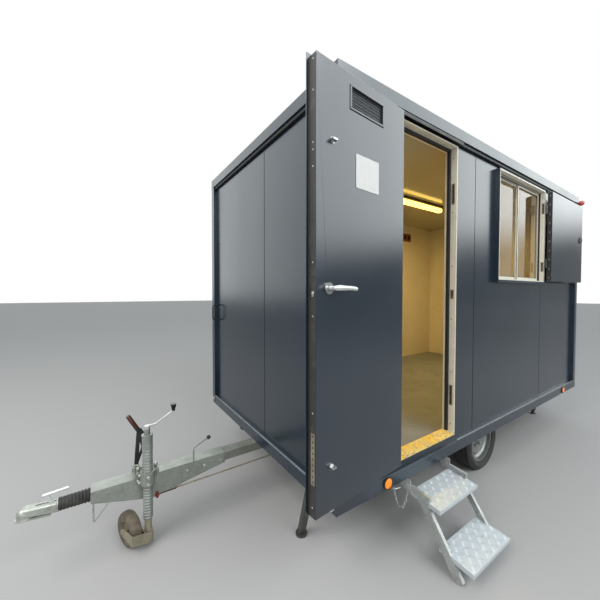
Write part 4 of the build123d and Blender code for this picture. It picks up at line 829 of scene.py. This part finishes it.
keeps = bmesh.new()
for low, high in ((1.810, 1.908), (2.399, 2.5115)):
    add_pocketed(keeps, (inner_right - 0.0014, -0.004, low), (inner_right, 0.020, high), (-1, 0, 0),
                 0.0075, 0.0013)
for level in (1.765, 2.000, 2.160, 2.320, 2.570):
    add_turned(keeps, screw(0.0035, 0.001), (inner_right, 0.012, level), (-1, 0, 0), steps=10)
# The keeps' slot floors are painted shade.
settle("window_keeps", keeps, "cabin", "passivated_zinc", "hollow_painted_shade", smooth=35)

# %% [markdown]
# Folded back against the wall, the shutter shows the edge that normally hides in the surround. A black
# seal with small fixing lugs runs down it.

# %% Shutter edge
LUG_FRONT, LUG_BACK, LUG_LOWEST, LUG_PITCH = 2.8026, 2.8031, 1.735, 0.0925
shutter_low, shutter_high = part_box("shutter_leaf")
shutter_seal = bmesh.new()
add_bar(shutter_seal, (2.8030, -0.062, shutter_low.z + 0.0090), (2.8039, -0.026, shutter_high.z - 0.0090),
        edge=0.0003)
for count in range(10):
    level = LUG_LOWEST + count * LUG_PITCH
    for outer, inner, low, high in ((-0.052, -0.040, 0, 0.022), (-0.062, -0.057, 0.040, 0.046)):
        add_bar(shutter_seal, (LUG_FRONT, outer, level + low), (LUG_BACK, inner, level + high),
                edge=0.0002, slot=1)
settle("shutter_seal", shutter_seal, "shutter", "seal_rubber", "lug_grey")

# %% [markdown]
# The strip light is a steel body, coloured dark brown as painted shade on its unlit sides, with a warm
# lens below. The body's cover hides the lens's upper half, so only its lower part glows, and the polished
# ceiling mirrors that glow as a thin second line. On the far wall, a brown box holds a double socket.

# %% Light cover and socket
lamp_low, lamp_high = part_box("light_batten")
COVER_LOW = lamp_high.z - 0.030
# The cover's dark brown is painted shade on the body's unlit sides.
bars("light_cover", "cabin", "cover_painted_shade",
     [((lamp_low.x - 0.004, lamp_low.y - 0.004, COVER_LOW),
       (lamp_high.x + 0.004, lamp_high.y + 0.004, lamp_high.z - 0.0004))], FRAME, 0.002)

light_lens = bmesh.new()
add_bar(light_lens, (lamp_low.x, lamp_low.y + 0.001, lamp_low.z - 0.022),
        (lamp_high.x, lamp_high.y - 0.001, COVER_LOW - 0.0002), FRAME, edge=0.014)
lens_piece = settle("light_lens", light_lens, "cabin", "diffuser", smooth=40)
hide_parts("light_batten")

socket = bmesh.new()
add_bar(socket, (3.084, 1.9375, 2.429), (3.292, 1.9447, 2.555), edge=0.002)
# The socket's two recesses have floors of painted shade.
for x in (3.100, 3.196):
    add_pocketed(socket, (x, 1.9355, 2.452), (x + 0.080, 1.9376, 2.532), (0, -1, 0), 0.012, 0.0012)
settle("wall_socket", socket, "cabin", "socket_brown", "hollow_painted_shade")

# %% [markdown]
# Lamps on trailers sit in black rubber rings, and their lenses are shallow domes. Ring and dome are each an
# outline spun round the lamp's axis, twice on the door side and twice on the far side.

# %% Lamp rings and side lamps
LAMP_LEVEL = 0.460
RING_OUTLINE = [(0.0312, 0), (0.0380, 0), (0.0380, 0.005), (0.0360, 0.0085), (0.0312, 0.0090), (0.0312, 0)]
DOME_OUTLINE = [(0, 0.0140), (0.010, 0.0138), (0.020, 0.0128), (0.026, 0.0112), (0.0300, 0.0085),
                (0.0308, 0.0050), (0.0308, 0), (0, 0)]
lamp_rings, lamp_lenses = bmesh.new(), bmesh.new()
for x in (0.400, 3.476):
    for y, way in ((-0.0001, -1), (BODY_WIDTH + 0.0001, 1)):
        add_turned(lamp_rings, RING_OUTLINE, (x, y, LAMP_LEVEL), (0, way, 0), steps=32)
        add_turned(lamp_lenses, DOME_OUTLINE, (x, y, LAMP_LEVEL), (0, way, 0), steps=32)
settle("lamp_rings", lamp_rings, "cabin", "seal_rubber", smooth=35)
lens_discs = settle("side_lamp_lenses", lamp_lenses, "cabin", "amber_lens", smooth=40)
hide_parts("side_lamps")

# %% [markdown]
# The walls stand back from the bottom rails, leaving a ledge between them. Each ledge gets one thin
# pale strip along the rail's edge, which is a painted highlight.

# %% Ledge highlight
HIGHLIGHT_LOW, HIGHLIGHT_HIGH = 0.4998, 0.5004
# The pale ledge strip is a painted highlight.
finish("ledge_highlight", "#8f979c", "#7b848a", 0.42, 0, (0.8, 6), ("#5f6468", 0.5, 12))
bars("ledge_highlights", "cabin", "ledge_highlight",
     [((x, y, HIGHLIGHT_LOW), (end_x, end_y, HIGHLIGHT_HIGH))
      for x, y, end_x, end_y in ((1.185, 0.0012, 3.880, 0.0150), (0.060, 2.0050, 3.870, 2.0188),
                                 (0.0012, 0.060, 0.0150, 1.960), (3.9150, 0.060, 3.9288, 1.960))], edge=0)

# %% [markdown]
# High at the rear corners a red marker lamp sits on a black rubber stalk. The lamp is a ribbed drum that
# shows its lens along the cabin, so it is an outline spun round a lengthways axis.

# %% Marker lamps
DRUM_OUTLINE = [(0, 0), (0.016, 0.0005), (0.025, 0.004), (0.0285, 0.010), (0.0285, 0.026), (0.025, 0.032),
                (0.016, 0.0355), (0, 0.036)]
BAND_OUTLINE = [(0.0286, 0), (0.0300, 0.001), (0.0300, 0.007), (0.0286, 0.008), (0.0286, 0)]
marker_low, marker_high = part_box("marker_lamps")
marker_lens, marker_stalk = bmesh.new(), bmesh.new()
for edge_y, way in ((marker_low.y, 1), (marker_high.y, -1)):
    x, y, z = marker_high.x - 0.036, edge_y + way * 0.0303, (marker_low.z + marker_high.z) / 2
    add_turned(marker_lens, DRUM_OUTLINE, (x, y, z), (1, 0, 0), FRAME, steps=28)
    add_turned(marker_stalk, BAND_OUTLINE, (x + 0.014, y, z), (1, 0, 0), FRAME, steps=28)
    arm = sorted((y + way * 0.026, edge_y + way * 0.0595))
    add_bar(marker_stalk, (x + 0.008, arm[0], z - 0.013), (x + 0.028, arm[1], z + 0.013), FRAME, edge=0.004)
lens_drums = settle("marker_drums", marker_lens, "cabin", "red_lens", smooth=40)
settle("marker_stalks", marker_stalk, "cabin", "seal_rubber", smooth=40)
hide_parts("marker_lamps")

# %% [markdown]
# Each tread is pressed with groups of five short bars that lie across each other, the pattern that every
# boot knows. A bar is a squashed low-poly ball with few faces, because there are more than a thousand.

# %% Tread pattern
STEP_PINS, STEP_TILT = 0.380, math.radians(5)
STEPS = CABIN @ Matrix.Translation((0, 0, STEP_PINS)) @ Matrix.Rotation(STEP_TILT, 4, "X")
TREADS = ((-0.218, -0.023, -0.024), (-0.427, -0.232, -0.231))
TREAD_LEFT, TREAD_RIGHT = 0.597, 1.025
GROUP = 0.0375
BARS, BAR_SPACING, BAR_SHAPE = (-2, -1, 0, 1, 2), 0.0062, (0.0120, 0.0019, 0.0009)

pattern = bmesh.new()
for front, back, top in TREADS:
    across, deep = int((TREAD_RIGHT - TREAD_LEFT) / GROUP), int((back - front) / GROUP)
    start_x = (TREAD_LEFT + TREAD_RIGHT - (across - 1) * GROUP) / 2
    start_y = (front + back - (deep - 1) * GROUP) / 2
    for column in range(across):
        for line in range(deep):
            lean = math.radians(45 if (column + line) % 2 else -45)
            middle = Vector((start_x + column * GROUP, start_y + line * GROUP, top))
            for bar in BARS:
                shape = (STEPS @ Matrix.Translation(middle) @ Matrix.Rotation(lean, 4, "Z")
                         @ Matrix.Translation((0, bar * BAR_SPACING, 0.0002))
                         @ Matrix.Diagonal((*BAR_SHAPE, 1)))
                bmesh.ops.create_icosphere(pattern, subdivisions=1, radius=1.0, matrix=shape)
settle("tread_pattern", pattern, "steps", "tread_bar", smooth=60)

# %% [markdown]
# A short chain keeps the pin that locks the folded steps. Every link is a closed spline of its own, an oval
# of eight points turned a quarter from its neighbour, and the whole chain is one curve with a round bevel.

# %% Chain and pin
LINK_HALF, LINK_SIDE, LINK_WIRE = 0.0105, 0.0052, 0.0016
CHAIN_START, CHAIN_END, CHAIN_SAG = at(0.446, -0.012, 0.409), at(0.5835, -0.012, 0.3600), 0.112
SAMPLES = 200
OVAL = ((-1, -0.55), (-0.45, -1), (0.45, -1), (1, -0.55), (1, 0.55), (0.45, 1), (-0.45, 1), (-1, 0.55))


def chain_point(share):
    """A point on the chain's sagging line."""
    point = CHAIN_START.lerp(CHAIN_END, share)
    point.z -= 4 * share * (1 - share) * CHAIN_SAG
    return point


def measured(points):
    """The running length at each point of a line."""
    total = [0.0]
    for one, other in zip(points, points[1:]):
        total.append(total[-1] + (other - one).length)
    return total


def round_line(curve, points, closed):
    """Adds a smooth line through control points to a curve."""
    line = curve.splines.new("NURBS")
    line.points.add(len(points) - 1)
    for target, point in zip(line.points, points):
        target.co = (*point, 1)
    line.order_u = 3
    line.use_cyclic_u = closed
    line.use_endpoint_u = not closed
    line.resolution_u = 4


def bent_rod(name, body, look, radius, *routes, closed=False):
    """Bent rod or wire, one smooth line for each route."""
    data = bpy.data.curves.new(name, "CURVE")
    data.dimensions = "3D"
    data.bevel_depth = radius
    data.bevel_resolution = 2
    data.use_fill_caps = True
    for route in routes:
        round_line(data, route, closed)
    data.materials.append(looks[look])
    piece = put(name, data)
    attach(piece, body)
    return piece


samples = [chain_point(step / SAMPLES) for step in range(SAMPLES + 1)]
lengths = measured(samples)
pitch = 2 * (LINK_HALF - LINK_WIRE)
links = []
for count in range(int(lengths[-1] / pitch)):
    middle = next(i for i, run in enumerate(lengths) if run >= (count + 0.5) * pitch)
    along = (samples[min(middle + 1, SAMPLES)] - samples[middle - 1]).normalized()
    flat = Vector((0, 1, 0)) if count % 2 else along.cross(Vector((0, 1, 0)))
    links.append([samples[middle] + along * (reach * LINK_HALF * 1.06) + flat * (rise * LINK_SIDE * 1.1)
                  for reach, rise in OVAL])
bent_rod("step_chain", "cabin", "bright_steel", LINK_WIRE, *links, closed=True)
print("chain links:", len(links))

PIN_EYE = (0.449, -0.012, 0.4115)
pin = bmesh.new()
add_turned(pin, [(0, 0), (0.0042, 0), (0.0042, 0.050), (0.0030, 0.056), (0, 0.056)], PIN_EYE,
           (0.97, 0, -0.2), steps=14)
add_turned(pin, [(0, -0.012), (0.0032, -0.012), (0.0032, 0.012), (0, 0.012)], PIN_EYE, (0, 0.3, 0.95),
           steps=12)
add_bar(pin, (0.440, -0.016, 0.4085), (0.452, 0.006, 0.4197), edge=0.001)
settle("step_pin", pin, "cabin", "bright_steel", smooth=40)

# %% [markdown]
# The coupling is dressed with the odds and ends of a real one: bolts along its housing, a ring nut behind
# the head, nuts on the clamp of the jockey wheel, its little bar handle, and a wire bracket below. A bent
# rod with a black knob stands on the drawbar.

# %% Bolts and nuts
DOMED_NUT = [(0, 0.024), (0.008, 0.0225), (0.0125, 0.017), (0.0130, 0.008), (0.0110, 0.004), (0.0110, 0),
             (0, 0)]
RING_NUT = [(0.0300, 0), (0.0350, 0), (0.0365, 0.0015), (0.0365, 0.0055), (0.0350, 0.0070),
            (0.0300, 0.0070), (0.0300, 0)]
hardware = bmesh.new()
for x in (-0.516, -0.400, -0.279):
    for y, way in ((0.960, -1), (1.060, 1)):
        add_turned(hardware, bolt(0.011, 0.009), (x, y, 0.365), (0, way, 0), steps=6)
for x in (-0.817, -0.717):
    for z in (0.402, 0.452):
        add_turned(hardware, bolt(0.0115, 0.013), (x, 0.954, z), (0, -1, 0), steps=6)
    add_turned(hardware, DOMED_NUT, (x, 0.957, 0.4672), steps=14)
for z in (0.403, 0.447):
    add_turned(hardware, bolt(0.0110, 0.013), (-0.767, 0.8762, z), (0, -1, 0), steps=6)
for z in (0.4045, 0.4505):
    add_turned(hardware, bolt(0.0100, 0.012), (-0.8085, 0.9180, z), (-1, 0, 0), steps=6)
add_turned(hardware, RING_NUT, (-1.2210, 1.010, 0.384), (1, 0, 0), steps=9)
settle("drawbar_hardware", hardware, "cabin", "bright_zinc", smooth=40)

handle_bar = bmesh.new()
add_bar(handle_bar, (-0.846, 0.9540, 0.4180), (-0.8290, 0.9600, 0.4420), edge=0.001)
add_turned(handle_bar, [(0, 0), (0.0055, 0), (0.0055, 0.072), (0, 0.072)], (-0.838, 0.957, 0.4300),
           steps=14)
add_turned(handle_bar, [(0, -0.026), (0.0045, -0.026), (0.0050, 0), (0.0045, 0.026), (0, 0.026)],
           (-0.828, 0.957, 0.5030), (0.95, 0, -0.3), steps=14)
settle("clamp_handle", handle_bar, "cabin", "bright_zinc", smooth=40)

bent_rod("wire_bracket", "cabin", "bright_zinc", 0.0048,
         [at(x, 0.966, z) for x, z in ((-0.955, 0.347), (-0.965, 0.335), (-1.000, 0.290), (-1.040, 0.240),
                                       (-1.049, 0.230), (-1.052, 0.243), (-1.052, 0.300),
                                       (-1.052, 0.347))])
bent_rod("rest_rod", "cabin", "galvanised", 0.0052,
         [at(*point) for point in ((-0.4715, 0.972, 0.4165), (-0.4715, 0.972, 0.455),
                                   (-0.4715, 0.972, 0.497), (-0.462, 0.976, 0.506),
                                   (-0.420, 0.990, 0.517), (-0.362, 1.008, 0.531))])
knob = bmesh.new()
add_turned(knob, [(0, 0.027), (0.008, 0.0265), (0.0132, 0.021), (0.0145, 0.012), (0.0125, 0.003),
                  (0.007, 0), (0, 0)], (-0.367, 1.0065, 0.530), (0.93, 0.30, 0.2), steps=16)
settle("rod_knob", knob, "cabin", "seal_rubber", smooth=60)

# %% [markdown]
# Below its clamp the jockey wheel's tube is ringed like a stack of washers. One wavy outline, spun round
# the tube's axis, gives all the rings at once.

# %% Tube rings
RING_PITCH, RING_LOW, RING_COUNT = 0.0180, 0.1700, 12
GROOVE, SKIN_INSIDE = 0.0262, 0.0255
rings_top = RING_LOW + RING_COUNT * RING_PITCH
wave = [(GROOVE, RING_LOW)]
for count in range(RING_COUNT):
    low = RING_LOW + count * RING_PITCH
    wave += [(GROOVE, low + 0.0045), (0.0284, low + 0.0065), (0.0290, low + 0.0090),
             (0.0284, low + 0.0115), (GROOVE, low + 0.0135)]
wave += [(GROOVE, rings_top), (SKIN_INSIDE, rings_top), (SKIN_INSIDE, RING_LOW), (GROOVE, RING_LOW)]
tube_rings = bmesh.new()
add_turned(tube_rings, wave, (-0.767, 0.918, 0), steps=28)
settle("jockey_rings", tube_rings, "cabin", "galvanised", smooth=50)

# %% [markdown]
# The brake rod ends in a red clip, and its first part runs in a dark sleeve.

# %% Brake clip
clip = bmesh.new()
add_turned(clip, [(0, 0), (0.0125, 0), (0.0140, 0.003), (0.0140, 0.023), (0.0125, 0.026), (0, 0.026)],
           (-0.720, 0.972, 0.2670), (1, 0, 0), steps=18)
add_bar(clip, (-0.716, 0.946, 0.2540), (-0.700, 0.966, 0.2900), edge=0.003)
settle("brake_clip", clip, "cabin", "clip_red", smooth=40)
finish("sleeve_brown", "#4d2c25", "#3c2822", 0.5, 0, (0.7, 25))
sleeve = bmesh.new()
add_turned(sleeve, [(0.0052, 0), (0.0085, 0), (0.0085, 0.100), (0.0070, 0.108), (0.0052, 0.108),
                    (0.0052, 0)], (-0.694, 0.972, 0.2672), (1, 0, 0.003), steps=18)
settle("brake_sleeve", sleeve, "cabin", "sleeve_brown", smooth=40)

# %% [markdown]
# A road tyre is one outline spun round its axle line: bulging walls with a raised rim guard, round
# shoulders and grooved tread. Then every tread face is inset and lifted, which cuts it into blocks.

# %% Road tyres
WHEEL_X, WHEEL_Z = 1.850, 0.255
WHEELS = (("door_side", 0.213, -1), ("far_side", 1.807, 1))
TREAD_FLOOR, TREAD_TOP, TREAD_HALF = 0.2470, 0.2525, 0.077
HALF_WALL = [(0.1690, 0.062), (0.1750, 0.0712), (0.1835, 0.0727), (0.1860, 0.0795), (0.1885, 0.0815),
             (0.1910, 0.0800), (0.2000, 0.0868), (0.2130, 0.0930), (0.2190, 0.0948), (0.2210, 0.0948),
             (0.2225, 0.0935), (0.2350, 0.0905), (0.2440, 0.0840), (0.2490, 0.0770)]
RIBS = ((0.0765, 0.0520), (0.0480, 0.0190), (0.0150, -0.0150), (-0.0190, -0.0480), (-0.0520, -0.0765))

outline = list(HALF_WALL)
for start, end in RIBS:
    outline += [(TREAD_TOP, start), (TREAD_TOP, end), (TREAD_FLOOR, end - 0.0008),
                (TREAD_FLOOR, end - 0.0032)]
outline = outline[:-2] + [(radius, -across) for radius, across in reversed(HALF_WALL)] + [HALF_WALL[0]]
for side, middle, way in WHEELS:
    name = "tyre_" + side
    tyre = bmesh.new()
    add_turned(tyre, outline, (WHEEL_X, middle, WHEEL_Z), (0, 1, 0), steps=90)
    bmesh.ops.recalc_face_normals(tyre, faces=tyre.faces)
    blocks = []
    for face in tyre.faces:
        spot = face.calc_center_median() - at(WHEEL_X, middle, WHEEL_Z)
        if abs(spot.y) < TREAD_HALF and math.hypot(spot.x, spot.z) > TREAD_TOP - 0.0008:
            blocks.append(face)
    bmesh.ops.inset_individual(tyre, faces=blocks, thickness=0.0011, depth=0.0018)
    piece = settle("road_" + name, tyre, "wheel_" + side, "tyre_rubber", smooth=30)
    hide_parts(name)

# %% [markdown]
# The wheel's disc gets its five nuts, a hub cap and three pressed rings, which make it read as sheet steel.

# %% Wheel trim
NUT_CIRCLE, NUTS = 0.056, 5
NUT_OUTLINE = [(0, 0.012), (0.0080, 0.012), (0.0105, 0.009), (0.0105, 0), (0.0130, 0), (0.0130, -0.003),
               (0, -0.003)]
CAP_OUTLINE = [(0, 0.026), (0.018, 0.0245), (0.0275, 0.019), (0.0305, 0.010), (0.0315, 0),
               (0.0275, -0.003), (0, -0.003)]
for side, middle, way in WHEELS:
    trim = bmesh.new()
    disc = middle + way * 0.0307
    for count in range(NUTS):
        turn_by = 2 * math.pi * count / NUTS + math.pi / 2
        spot = (WHEEL_X + NUT_CIRCLE * math.cos(turn_by), disc + way * 0.0085,
                WHEEL_Z + NUT_CIRCLE * math.sin(turn_by))
        add_turned(trim, NUT_OUTLINE, spot, (0, way, 0), steps=6, slot=1)
    for radius, rise in ((0.084, 0.0030), (0.104, 0.0034), (0.124, 0.0036)):
        ring = [(radius - 0.0060, -0.001), (radius - 0.0045, rise * 0.7), (radius, rise),
                (radius + 0.0045, rise * 0.7), (radius + 0.0060, -0.001), (radius - 0.0060, -0.001)]
        add_turned(trim, ring, (WHEEL_X, disc, WHEEL_Z), (0, way, 0), steps=48)
    add_turned(trim, CAP_OUTLINE, (WHEEL_X, disc, WHEEL_Z), (0, way, 0), steps=28)
    settle("wheel_trim_" + side, trim, "wheel_" + side, "rim_silver", "bright_steel", smooth=40)
